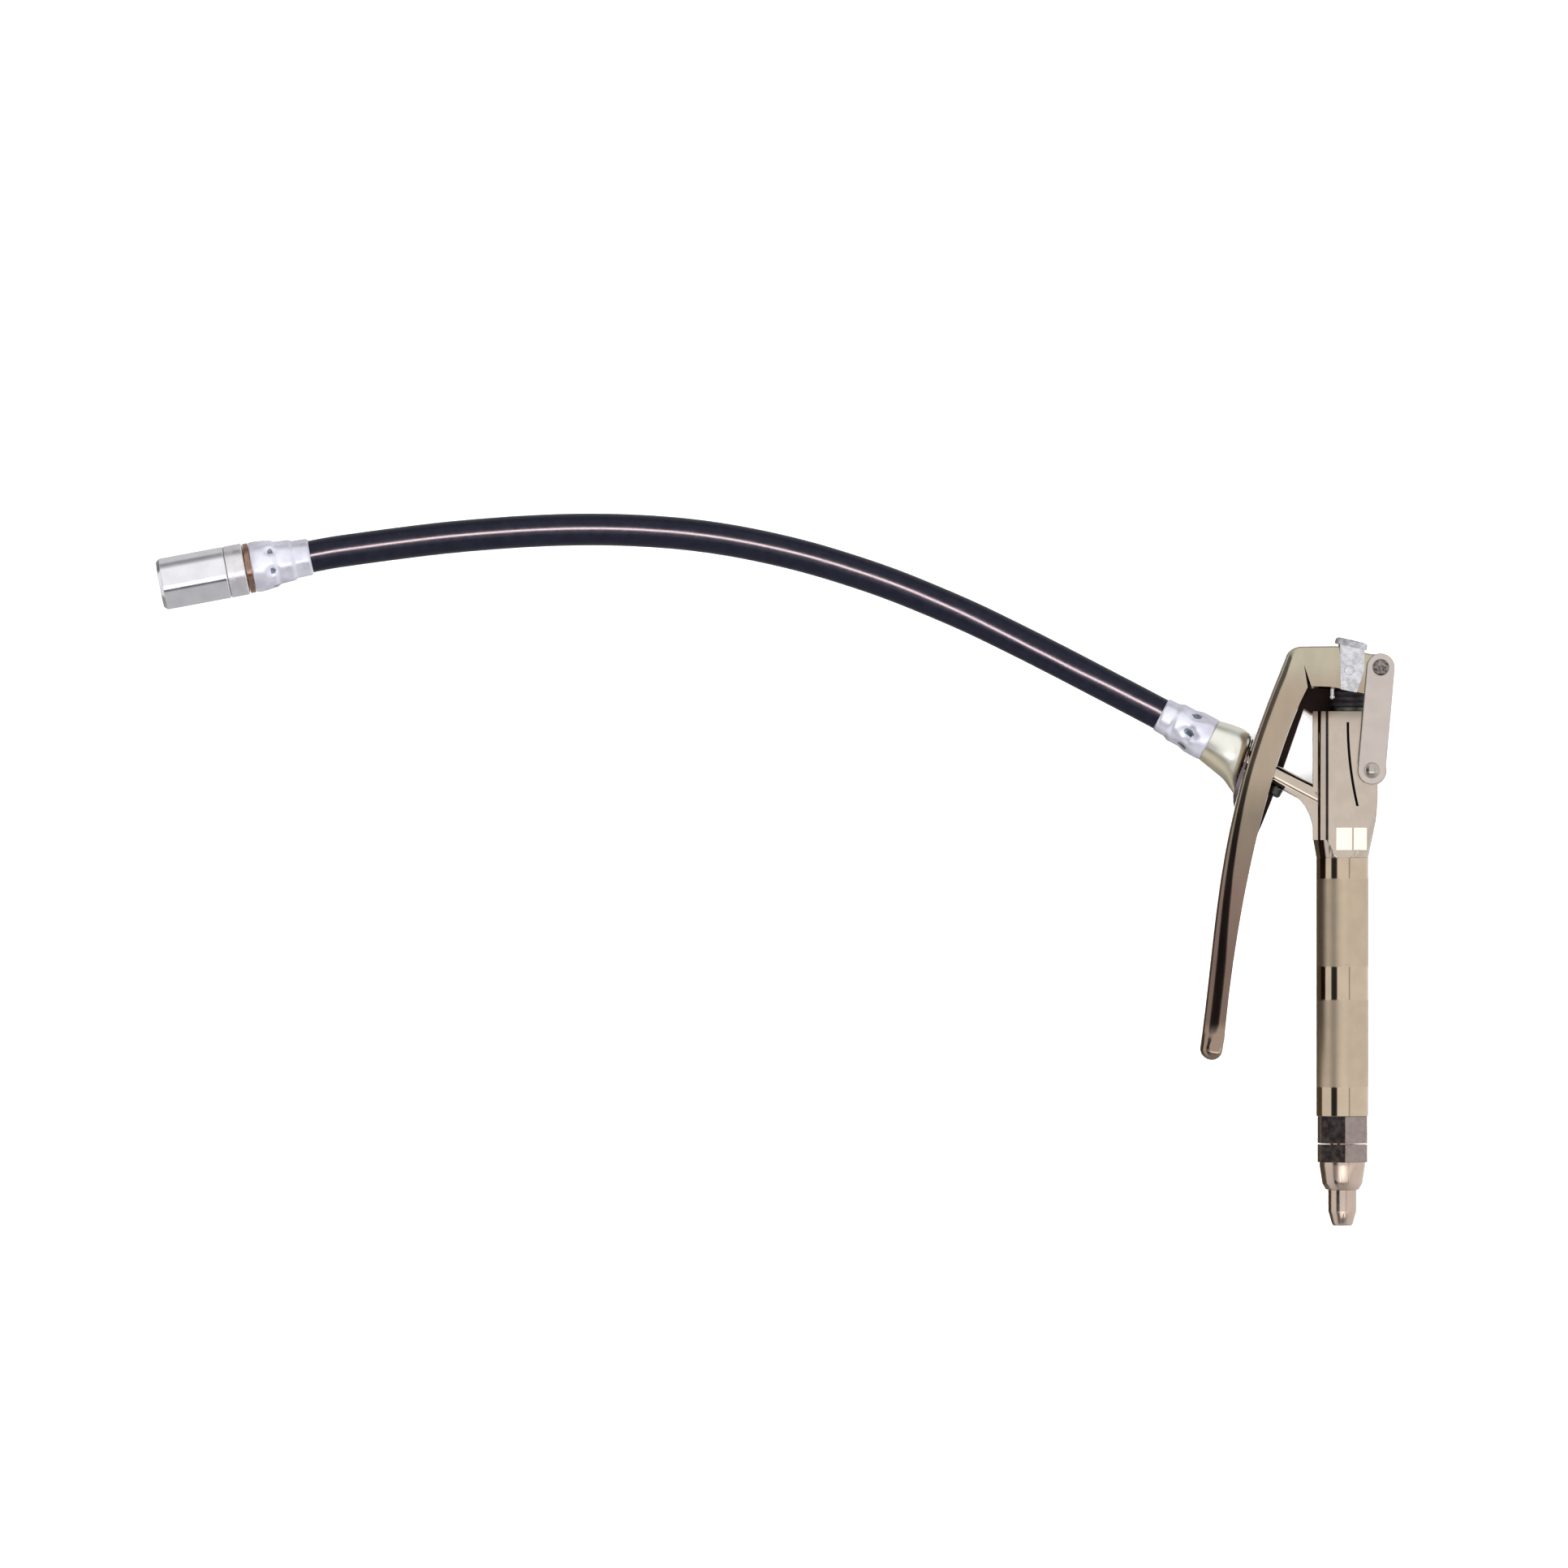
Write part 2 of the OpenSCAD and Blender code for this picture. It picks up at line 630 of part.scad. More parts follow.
module coupler_ferrule() {
    color("lightsteelblue") on_coupler(0) rotate_extrude() polygon([[hose_bore + snug, 0], [5.9, 0],
        [6.35, 0.6], [6.5, 5.5], [7.1, 6.6], [7.4, 11.5], [8.3, 12.8], [8.8, 18.5],
        [8.6, coupler_ferrule_end], [hose_bore + snug, coupler_ferrule_end]]);
}
washer_in = 5;
module coupler_hose_stem() {
    base = coupler_ferrule_end + cut;
    color("silver") on_coupler(0) difference() {
        union() {
            rod(hose_bore, coupler_stem_end);
            translate([0, 0, base]) rod(washer_in, 1.9);
            translate([0, 0, base]) rod(coupler_stem_r, coupler_stem_end - base);
        }
        translate([0, 0, -1]) rod(hose_passage, 40);
    }
}
module coupler_washer() {
    color("saddlebrown") on_coupler(coupler_ferrule_end + 0.25) tube(coupler_r - 0.3, washer_in + snug, 1.8);
}

// ---- Coupler ----
piston_h = 4.4;
module coupler_body() {
    shoulder = coupler_step - 0.1 - coupler_body_low;
    spigot_r = coupler_bore - fit;
    end = 11;
    color("silver") on_coupler(coupler_body_low) difference() {
        rotate_extrude() polygon([[0, 0], [coupler_r - 0.5, 0], [coupler_r, 0.5], [coupler_r, shoulder],
            [spigot_r, shoulder], [spigot_r, end], [0, end]]);
        translate([0, 0, -cut]) rod(coupler_stem_r + snug, 5.6);
        translate([0, 0, 5]) rod(2, end);
        translate([0, 0, spring_low - 0.2 - coupler_body_low]) rod(4.4, end);
    }
}
module coupler_sleeve() {
    color("lightsteelblue") on_coupler(0) rotate_extrude() polygon([[coupler_bore, coupler_step],
        [coupler_r - 0.3, coupler_step], [coupler_r, coupler_step + 0.4],
        [coupler_r, coupler_end - 1.2], [coupler_r - 1.1, coupler_end],
        [mouth_r, coupler_end], [mouth_r, coupler_end - mouth_length],
        [coupler_bore, coupler_end - 3.4]]);
}
module coupler_spring() {
    color("gray") on_coupler(spring_low) coil_spring(3.4, 0.5, core_from - spring_low, 4);
}
module coupler_piston() {
    color("silver") on_coupler(core_from) difference() {
        rod(coupler_bore - fit, piston_h);
        translate([0, 0, -1]) rod(1.2, 8);
        translate([0, 0, piston_h - seal_t]) rod(2.9, 2);
    }
}
module coupler_seal() {
    color("black") on_coupler(core_from + piston_h - seal_t) tube(2.9 - snug, 1.2, seal_t + 0.4);
}
module coupler_jaws() {
    slit = 0.8;
    inner = 3.35;
    outer = coupler_bore - 0.2;
    low = core_from + piston_h + 0.05;
    nose = coupler_end - 2.8;
    color("dimgray") on_coupler(0) difference() {
        rotate_extrude() polygon([[inner, low], [outer, low], [outer, coupler_end - 3.8],
            [4.6, nose], [inner, nose]]);
        for (turn = [0, 90]) rotate([0, 0, turn]) translate([-10, -slit / 2, core_from])
            cube([20, slit, 30]);
    }
}

body_casting();
grip_tube();
gland_nut();
plunger_seal();
dust_boot();
return_spring();
gallery_plug();
outlet_boss();
boss_seal();
outlet_spring();
outlet_ball();
inlet_seat();
inlet_ball();
inlet_spring();
strainer();
swivel_collar();
swivel_stem();
swivel_oring();
swivel_ring();
link_plate_near();
link_plate_far();
link_pin_upper();
link_pin_lower();
link_pin_clips();
lever();
saddle_bracket();
cap_screw();
yoke_pin();
cotter_pin();
plunger();
spring_seat();
gun_hose_stem();
gun_ferrule();
hose_tube();
coupler_ferrule();
coupler_hose_stem();
coupler_washer();
coupler_body();
coupler_sleeve();
coupler_spring();
coupler_piston();
coupler_seal();
coupler_jaws();
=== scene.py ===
"""The looks of the grease gun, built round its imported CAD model.

Lengths in the lists below are millimetres, mostly in the gun's own axes.
"""

import math

import bmesh
import bpy
from mathutils import Matrix, Vector, geometry


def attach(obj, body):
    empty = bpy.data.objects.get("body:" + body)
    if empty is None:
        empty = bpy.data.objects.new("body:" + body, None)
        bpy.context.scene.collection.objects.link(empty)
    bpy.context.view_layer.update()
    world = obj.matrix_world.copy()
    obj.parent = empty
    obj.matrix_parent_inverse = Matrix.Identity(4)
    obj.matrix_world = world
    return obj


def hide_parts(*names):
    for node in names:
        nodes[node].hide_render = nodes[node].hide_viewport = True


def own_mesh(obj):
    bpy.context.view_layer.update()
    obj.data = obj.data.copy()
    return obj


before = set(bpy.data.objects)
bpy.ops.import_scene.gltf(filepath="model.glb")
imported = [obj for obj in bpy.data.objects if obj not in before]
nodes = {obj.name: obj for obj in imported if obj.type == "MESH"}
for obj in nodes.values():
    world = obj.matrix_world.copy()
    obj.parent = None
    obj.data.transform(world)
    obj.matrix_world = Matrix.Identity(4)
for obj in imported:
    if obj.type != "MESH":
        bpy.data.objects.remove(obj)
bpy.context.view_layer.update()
scene = bpy.context.scene

MM = 0.001
GUN_AT = (15.73, -100.75, 15.0)  # the gun's own [across, up, depth] zero, in the row frame

# ---------------------------------------------------------------- camera

VIEW_CENTRE = (-175.4, 50.4)
VIEW_WIDTH = 536.7
LENS, SENSOR = 500.0, 36.0

camera = bpy.data.objects.new("camera", bpy.data.cameras.new("camera"))
camera.data.lens = LENS
camera.data.sensor_width = SENSOR
camera.data.clip_start, camera.data.clip_end = 1.0, 60.0
camera.location = Vector((*VIEW_CENTRE, VIEW_WIDTH * LENS / SENSOR + GUN_AT[2])) * MM
scene.collection.objects.link(camera)
scene.camera = camera
scene.view_settings.view_transform = "Standard"


# ---------------------------------------------------------------- places


def gun(u, v, w=0.0):
    """A point of the gun's own [across, up, depth], in the row frame in metres."""
    return Vector((u + GUN_AT[0], v + GUN_AT[1], w + GUN_AT[2])) * MM


def axis_frame(origin, turn):
    """Local x is depth (+Z), local y lies across the axis, local z runs along it, at a turn in degrees."""
    a = math.radians(turn)
    along = Vector((math.cos(a), math.sin(a), 0))
    across = Vector((-math.sin(a), math.cos(a), 0))
    up = Vector((0, 0, 1))
    return Matrix.Translation(origin) @ Matrix((up, across, along)).transposed().to_4x4()


OUTLET = axis_frame(gun(-8.9, 146.7), 152.0)
COUPLER = axis_frame(Vector((-337.5, 128.3, 8.95)) * MM, 190.6)


def bezier(a, b, c, d, steps):
    out = []
    for i in range(steps + 1):
        t = i / steps
        s = 1 - t
        weights = (s**3, 3 * s * s * t, 3 * s * t * t, t**3)
        out.append(tuple(sum(w * p[k] for w, p in zip(weights, (a, b, c, d))) for k in (0, 1)))
    return out


def arc(centre, r, start, stop, steps):
    angles = [math.radians(start + (stop - start) * i / steps) for i in range(steps + 1)]
    return [(centre[0] + r * math.cos(a), centre[1] + r * math.sin(a)) for a in angles]


def moved_left(points, by):
    out = []
    for i, p in enumerate(points):
        a, b = points[max(i - 1, 0)], points[min(i + 1, len(points) - 1)]
        run = Vector((b[0] - a[0], b[1] - a[1])).normalized()
        out.append((p[0] - by * run.y, p[1] + by * run.x))
    return out


# ---------------------------------------------------------------- materials


def ramp_node(tree, factor, stops):
    node = tree.nodes.new("ShaderNodeValToRGB")
    tree.links.new(factor, node.inputs["Fac"])
    row = node.color_ramp.elements
    while len(row) < len(stops):
        row.new(0.5)
    for element, (at, colour) in zip(row, sorted(stops)):
        element.position = at
        element.color = (*colour, 1)
    return node.outputs["Color"]


def noise_node(tree, scale, detail=2.0, stretch=None, kind="ShaderNodeTexNoise"):
    place = tree.nodes.new("ShaderNodeTexCoord").outputs["Object"]
    if stretch:
        mapping = tree.nodes.new("ShaderNodeMapping")
        mapping.inputs["Scale"].default_value = stretch
        tree.links.new(place, mapping.inputs["Vector"])
        place = mapping.outputs["Vector"]
    noise = tree.nodes.new(kind)
    noise.inputs["Scale"].default_value = scale
    noise.inputs["Detail"].default_value = detail
    tree.links.new(place, noise.inputs["Vector"])
    return noise


def ranged(tree, value, source, target=(0.0, 1.0)):
    """A node that maps a value from one range to another."""
    span = tree.nodes.new("ShaderNodeMapRange")
    span.inputs["From Min"].default_value, span.inputs["From Max"].default_value = source
    span.inputs["To Min"].default_value, span.inputs["To Max"].default_value = target
    tree.links.new(value, span.inputs["Value"])
    return span.outputs["Result"]


def finish_material(name, colours, rough, metallic, spots, bump, fixed=None, stretch=None, cells=None):
    """A material of two tones mixed in spots, with a lowest and highest roughness and a bump.

    bump is (size, depth in millimetres), and cells makes it a crystal pattern.
    """
    m = bpy.data.materials.new(name)
    m.use_nodes = True
    tree = m.node_tree
    shader = tree.nodes["Principled BSDF"]
    shader.inputs["Metallic"].default_value = metallic
    for socket, value in (fixed or {}).items():
        shader.inputs[socket].default_value = value
    spots = noise_node(tree, spots, stretch=stretch).outputs["Fac"]
    tone = ramp_node(tree, spots, [(0.36, colours[0]), (0.64, colours[1])])
    tree.links.new(tone, shader.inputs["Base Color"])
    tree.links.new(ranged(tree, spots, (0.3, 0.7), rough), shader.inputs["Roughness"])
    size, depth = bump
    if cells:
        height = noise_node(tree, size, 0.0, stretch, "ShaderNodeTexVoronoi").outputs["Distance"]
    else:
        height = noise_node(tree, size, 3.0, stretch).outputs["Fac"]
    push = tree.nodes.new("ShaderNodeBump")
    push.inputs["Strength"].default_value = 1.0
    push.inputs["Distance"].default_value = depth * MM
    tree.links.new(height, push.inputs["Height"])
    tree.links.new(push.outputs["Normal"], shader.inputs["Normal"])
    return m


def metal(name, colour, rough, bump=(900, 0.004), shade=0.93, spots=180, **more):
    dark = tuple(c * shade for c in colour)
    return finish_material(name, (dark, colour), rough, 1.0, spots, bump, **more)


BODY_NICKEL = metal("body_nickel", (0.585, 0.50, 0.42), (0.10, 0.15), (260, 0.006))
GRIP_NICKEL = metal("grip_nickel", (0.60, 0.485, 0.36), (0.36, 0.46), (260, 0.010))
LEVER_NICKEL = metal("lever_nickel", (0.45, 0.36, 0.27), (0.09, 0.14), (200, 0.008), stretch=(1, 0.35, 1))
LINK_NICKEL = metal("link_nickel", (0.60, 0.535, 0.49), (0.30, 0.40), (420, 0.02))
ZINC = finish_material(
    "zinc", ((0.56, 0.55, 0.63), (0.70, 0.70, 0.79)), (0.26, 0.36), 0.85, 160, (170, 0.05),
    fixed={"IOR": 1.5},
)
# Painted shade for the bottoms of the ferrules' crimp dents.
CRIMP_SHADE = metal("crimp", (0.30, 0.34, 0.42), (0.3, 0.4), (500, 0.02), shade=0.6, spots=500)
CRYSTAL_ZINC = metal(
    "crystal_zinc", (0.74, 0.73, 0.76), (0.22, 0.34), (700, 0.07), shade=0.7, spots=500, cells=True,
)
CAP_ZINC = metal("cap_zinc", (0.80, 0.79, 0.83), (0.42, 0.52), (900, 0.09), shade=0.62, spots=700)
COUPLER_ZINC = metal("coupler_zinc", (0.88, 0.88, 0.92), (0.10, 0.16), (240, 0.006))
COUPLER_NECK = metal(
    "coupler_neck", (0.88, 0.85, 0.88), (0.24, 0.36), (300, 0.02), shade=0.86, spots=350,
)
DARK_HEX = metal("dark_hex", (0.36, 0.29, 0.27), (0.10, 0.18), (300, 0.008), shade=0.85, spots=500)
SWIVEL = metal("swivel_steel", (0.60, 0.48, 0.40), (0.12, 0.2), (300, 0.006))
PIN_STEEL = metal("pin_steel", (0.34, 0.30, 0.28), (0.3, 0.5), (900, 0.06), shade=0.22, spots=900)
PIN_DOME = metal("pin_dome", (0.50, 0.45, 0.41), (0.14, 0.22), (500, 0.01))
SPRING_STEEL = metal("spring_steel", (0.45, 0.45, 0.46), (0.25, 0.35))
BRIGHT_STEEL = metal("bright_steel", (0.75, 0.75, 0.76), (0.15, 0.25))
COPPER = metal("copper_washer", (0.40, 0.24, 0.18), (0.16, 0.24), shade=0.75, spots=500)
BOSS_CREAM = metal("boss_cream", (0.94, 0.93, 0.84), (0.26, 0.34), (260, 0.006), shade=0.96)
# Painted shade: a darker copy of the boss's cream, for its faces that turn downwards.
BOSS_PAINTED_SHADE = metal("boss_painted_shade", (0.84, 0.76, 0.58), (0.28, 0.36), (260, 0.006), shade=0.94)
# Painted shade: a near-black for the boss's shoulder, standing for the shade between the boss and the lever.
SHOULDER_PAINTED_SHADE = metal(
    "shoulder_painted_shade", (0.19, 0.15, 0.155), (0.3, 0.4), (400, 0.004), shade=0.9, spots=150,
)
BLACK_OXIDE = metal("black_oxide", (0.12, 0.13, 0.11), (0.35, 0.5), (700, 0.02), shade=0.6)
# Painted shade for the inside of the lever's channel.
CHANNEL_PAINTED_SHADE = metal("channel_painted_shade", (0.045, 0.028, 0.026), (0.4, 0.55), (500, 0.02), shade=0.5)
# Painted shade: a near-black for the body's seam groove and the near link plate's left side, in place of
# contact shadow.
SEAM_PAINTED_SHADE = metal("seam_painted_shade", (0.02, 0.016, 0.014), (0.6, 0.7), (900, 0.01), shade=0.6)
HOSE_RUBBER = finish_material(
    "hose_rubber", ((0.0040, 0.0044, 0.0085), (0.0052, 0.0055, 0.0105)), (0.20, 0.24), 0.0, 350,
    (1500, 0.003), fixed={"Specular IOR Level": 0.12},
)
BLACK_RUBBER = finish_material(
    "black_rubber", ((0.006, 0.005, 0.006), (0.010, 0.009, 0.010)), (0.35, 0.5), 0.0, 500,
    (1200, 0.02), fixed={"Specular IOR Level": 0.25},
)


def height_node(tree, low, high, lean=0.0):
    """0 to 1 between two heights up the gun; lean raises it to the left."""
    place = tree.nodes.new("ShaderNodeTexCoord")
    height = tree.nodes.new("ShaderNodeVectorMath")
    height.operation = "DOT_PRODUCT"
    up = Vector((-lean, 1, 0))
    height.inputs[1].default_value = up
    tree.links.new(place.outputs["Object"], height.inputs[0])
    return ranged(tree, height.outputs["Value"], (gun(0, low).dot(up), gun(0, high).dot(up)))


def polish_bands(m, bands, low, rough):
    """Makes bands across the grip, given by their heights, smoother than the rest."""
    bottom, top, edge = 30, 140, 0.002
    stops = [(0.0, (rough,) * 3)]
    for ends in bands:
        a, b = ((v - bottom) / (top - bottom) for v in ends)
        stops += [(a - edge, (rough,) * 3), (a, (low,) * 3), (b, (low,) * 3), (b + edge, (rough,) * 3)]
    tree = m.node_tree
    value = ramp_node(tree, height_node(tree, bottom, top), stops)
    tree.links.new(value, tree.nodes["Principled BSDF"].inputs["Roughness"])


def tone_along(m, stops, lean=0.0):
    """Multiplies the base colour by shares, or tints, given at heights up the gun: painted shade and highlight.
    """
    top = 200
    tree = m.node_tree
    shader = tree.nodes["Principled BSDF"]
    tone = shader.inputs["Base Color"].links[0].from_socket
    tints = [(v / top, k if isinstance(k, tuple) else (k, k, k)) for v, k in stops]
    share = ramp_node(tree, height_node(tree, 0, top, lean), tints)
    dim = tree.nodes.new("ShaderNodeVectorMath")
    dim.operation = "MULTIPLY"
    tree.links.new(tone, dim.inputs[0])
    tree.links.new(share, dim.inputs[1])
    tree.links.new(dim.outputs["Vector"], shader.inputs["Base Color"])


# Painted shade and highlight down the lever: its leg darkened with mauve tints, its tip less so, and its top
# brightened with a cool bluish tint.
tone_along(LEVER_NICKEL, [
    (60, (0.75, 0.69, 0.71)), (67, (0.75, 0.69, 0.71)), (70, (0.47, 0.415, 0.44)),
    (90, (0.46, 0.395, 0.43)), (115, (0.57, 0.49, 0.53)), (128, (0.61, 0.585, 0.6)), (140, 0.62),
    (155, 1.0), (180, 1.0), (186, (1.05, 1.1, 1.1)), (192, (1.18, 1.33, 1.36)),
])
# Painted shade on the body: darker towards its top under the boot, and darker and browner still towards its top
# left under the lever's arm.
tone_along(BODY_NICKEL, [(126, 1.0), (168, 1.0), (173, 0.9), (174.5, 0.7), (176, 0.55)])
tone_along(
    BODY_NICKEL, [(126, 1.0), (175.5, 1.0), (177.5, (0.85, 0.79, 0.75)), (180, (0.6, 0.53, 0.5))], lean=0.5,
)
polish_bands(GRIP_NICKEL, [(37.4, 47.2), (77.4, 88.6), (119.0, 126.2)], 0.09, 0.42)

NODE_LOOKS = {
    BODY_NICKEL: ["body_casting"],
    GRIP_NICKEL: ["grip_tube"],
    LINK_NICKEL: ["link_plate_near", "link_plate_far"],
    PIN_STEEL: ["link_pin_upper"],
    CRYSTAL_ZINC: ["saddle_bracket", "yoke_pin"],
    CAP_ZINC: ["cap_screw"],
    COUPLER_NECK: ["coupler_body"],
    COUPLER_ZINC: ["coupler_sleeve"],
    DARK_HEX: ["swivel_collar"],
    SWIVEL: ["swivel_stem"],
    COPPER: ["boss_seal", "coupler_washer"],
    BLACK_OXIDE: ["gallery_plug", "gland_nut", "spring_seat", "coupler_jaws"],
    BLACK_RUBBER: ["plunger_seal", "swivel_oring", "coupler_seal"],
    SPRING_STEEL: ["swivel_ring", "link_pin_clips"],
    BRIGHT_STEEL: [
        "outlet_ball", "inlet_seat", "inlet_ball", "strainer", "cotter_pin", "plunger",
        "gun_hose_stem", "coupler_hose_stem", "coupler_piston",
    ],
}
SHARP_BEVEL = {
    "body_casting": 0.35, "link_plate_near": 0.35, "link_plate_far": 0.35, "saddle_bracket": 0.2,
    "swivel_collar": 0.25, "grip_tube": 0.15, "swivel_stem": 0.15,
}
PLAIN_BEVEL = 0.12


def soften(o, bevel, angle=35):
    """Rounds the edges sharper than an angle."""
    edge = o.modifiers.new("edge", "BEVEL")
    edge.width = bevel * MM
    edge.segments = 2
    edge.limit_method = "ANGLE"
    edge.angle_limit = math.radians(angle)
    o.modifiers.new("normals", "WEIGHTED_NORMAL").keep_sharp = True


def dress(o, material, bevel):
    """Material, rounded edges and smooth shading, without touching the mesh's own vertices."""
    o.data.materials.clear()
    o.data.materials.append(material)
    for p in o.data.polygons:
        p.use_smooth = True
    weld = o.modifiers.new("weld", "WELD")
    weld.merge_threshold = 1e-6
    flat = o.modifiers.new("flat", "DECIMATE")
    flat.decimate_type = "DISSOLVE"
    flat.angle_limit = math.radians(1.0)
    soften(o, bevel)


for look, names in NODE_LOOKS.items():
    for n in names:
        dress(nodes[n], look, SHARP_BEVEL.get(n, PLAIN_BEVEL))


def second_look(o, material, inside):
    """Gives another material to the faces whose middle, in the gun's millimetres, is inside."""
    o.data.materials.append(material)
    for p in o.data.polygons:
        c = p.center / MM - Vector(GUN_AT)
        if inside(c, p.normal):
            p.material_index = 1


SEAM_CENTRE, SEAM_R = Vector((125.4, 172.0)), 124.0


def in_long_seam(c, n):
    """The groove between the barrel and the lug, its walls and its floor, which get painted shade."""
    off_curve = (c.xy - SEAM_CENTRE).length - SEAM_R
    return -0.75 < off_curve < 0.25 and 6.9 < c.z < 8.75 and 143.5 < c.y < 172.4 and (n.z < 0.5 or c.z < 7.1)


# Painted shade: the seam groove's faces and the near link plate's left side faces get the near-black in place
# of their shadow.
second_look(nodes["body_casting"], SEAM_PAINTED_SHADE, in_long_seam)
second_look(nodes["link_plate_near"], SEAM_PAINTED_SHADE, lambda c, n: n.x < -0.5)
second_look(nodes["swivel_stem"], DARK_HEX, lambda c, n: 21.65 < c.y < 27.9 and math.hypot(c.x, c.z) > 4.2)


# ---------------------------------------------------------------- mesh helpers


def mesh_piece(name, points, faces, material=None, body=None):
    """An object of those points and faces; with no body it is a tool for cutting."""
    mesh = bpy.data.meshes.new(name)
    mesh.from_pydata([tuple(p) for p in points], [], faces)
    mesh.validate()
    b = bmesh.new()
    b.from_mesh(mesh)
    bmesh.ops.recalc_face_normals(b, faces=b.faces)
    b.to_mesh(mesh)
    b.free()
    if material:
        mesh.materials.append(material)
    for p in mesh.polygons:
        p.use_smooth = True
    o = bpy.data.objects.new(name, mesh)
    scene.collection.objects.link(o)
    if body:
        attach(o, body)
    return o


def stacked(rings, n):
    """Faces for rings of n points, one after the other, closed at both ends."""
    walls = [
        (k * n + i, k * n + (i + 1) % n, (k + 1) * n + (i + 1) % n, (k + 1) * n + i)
        for k in range(rings - 1)
        for i in range(n)
    ]
    last = (rings - 1) * n
    return walls + [tuple(range(n))[::-1], tuple(range(last, last + n))]


def off_by(turn, degrees):
    """How far a turn in radians is from one in degrees, the short way round."""
    return (turn - math.radians(degrees) + math.pi) % (2 * math.pi) - math.pi


BORE_R = 4.0  # a ferrule's wall starts outside this radius, and only the wall is crimped


def lathe(name, place, profile, material, body, sides=96, dents=()):
    """A closed ring of (radius, height) points turned about local z.

    dents are (height, degrees from local x, depth, half length, half width).
    """
    points, faces = [], []
    for k in range(sides):
        turn = 2 * math.pi * k / sides
        for r, t in profile:
            for at, angle, depth, length, width in dents:
                if r > BORE_R:
                    reach = ((t - at) / length) ** 2 + (off_by(turn, angle) * r / width) ** 2
                    r -= depth * math.exp(-(reach**1.5))
            points.append(place @ (Vector((r * math.cos(turn), r * math.sin(turn), t)) * MM))
    n = len(profile)
    for k in range(sides):
        for i in range(n):
            a, b = k * n + i, k * n + (i + 1) % n
            c, d = (k + 1) % sides * n + (i + 1) % n, (k + 1) % sides * n + i
            faces.append((a, b, c, d))
    return mesh_piece(name, points, faces, material, body)


def fine(profile, step):
    """The same outline with points no further apart than a step."""
    out = []
    for (r1, t1), (r2, t2) in zip(profile, profile[1:]):
        n = max(1, math.ceil(math.hypot(r2 - r1, t2 - t1) / step))
        out += [(r1 + (r2 - r1) * i / n, t1 + (t2 - t1) * i / n) for i in range(n)]
    return out + [profile[-1]]


def prism(points, low, high):
    """A solid with that outline in the gun's plane, between two depths."""
    corners = [gun(u, v, w) for w in (low, high) for u, v in points]
    return mesh_piece("tool", corners, stacked(2, len(points)))


def column(place, outline, low, high):
    """A solid with that outline across local z, between two heights."""
    points = [place @ (Vector((x, y, z)) * MM) for z in (low, high) for x, y in outline]
    return mesh_piece("tool", points, stacked(2, len(outline)))


def rod(place, r, low, high, sides=48):
    turns = [2 * math.pi * k / sides for k in range(sides)]
    return column(place, [(r * math.cos(a), r * math.sin(a)) for a in turns], low, high)


def cut_away(o, tools, operation="DIFFERENCE"):
    for tool in tools:
        cut = o.modifiers.new("cut", "BOOLEAN")
        cut.operation = operation
        cut.solver = "EXACT"
        cut.object = tool
        view = bpy.context.evaluated_depsgraph_get()
        mesh = bpy.data.meshes.new_from_object(o.evaluated_get(view))
        o.modifiers.clear()
        o.data = mesh
        bpy.data.objects.remove(tool)
    for p in o.data.polygons:
        p.use_smooth = True


# ---------------------------------------------------------------- hose, a round curve along its route

HOSE_ROUTE = [
    (-46.5, 74.3, 15), (-55, 78.8, 15), (-69, 86.1, 14.1), (-83, 93.4, 11.6), (-97, 100.5, 8.8),
    (-111, 107.3, 6.7), (-125, 113.4, 5.7), (-139, 119, 5.5), (-153, 123.8, 5.5), (-167, 128, 5.5),
    (-181, 131.4, 5.5), (-195, 134.1, 5.5), (-209, 136, 5.5), (-223, 137.1, 5.5), (-237, 137.6, 5.5),
    (-251, 137.5, 5.5), (-265, 136.9, 5.5), (-279, 135.9, 5.6), (-293, 134.6, 6.1), (-307, 132.9, 7.2),
    (-321, 131, 8.4), (-330, 129.7, 8.9), (-337.5, 128.3, 8.95),
]
HOSE_DIAMETER = 0.011


def smooth_line(points, steps):
    """A smooth line through all the points, in metres."""
    p = [Vector(q) * MM for q in points]
    out = []
    for i in range(len(p) - 1):
        a, b, c, d = p[max(i - 1, 0)], p[i], p[i + 1], p[min(i + 2, len(p) - 1)]
        for k in range(steps):
            t = k / steps
            square, cube = 2 * a - 5 * b + 4 * c - d, 3 * b - a - 3 * c + d
            out.append(0.5 * (2 * b + (c - a) * t + square * t * t + cube * t**3))
    return out + [p[-1]]


line = bpy.data.curves.new("hose", "CURVE")
line.dimensions = "3D"
line.bevel_depth = HOSE_DIAMETER / 2
line.bevel_resolution = 8
line.use_fill_caps = True
spline = line.splines.new("POLY")
route = smooth_line(HOSE_ROUTE, 6)
spline.points.add(len(route) - 1)
for point, at in zip(spline.points, route):
    point.co = (*at, 1)
spline.use_smooth = True
hose = bpy.data.objects.new("hose", line)
scene.collection.objects.link(hose)
hose.data.materials.append(HOSE_RUBBER)
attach(hose, "gun_body")
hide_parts("hose_tube")

# ---------------------------------------------------------------- ferrules

GUN_DENTS = [(49.0, a, 0.9, 3.2, 2.2) for a in (10, -52, 70, 130, 190, 250)]
COUPLER_DENTS = [(13.4, a, 0.7, 1.9, 1.9) for a in (18.5, -32.5, 80, 140, 200, 262)]


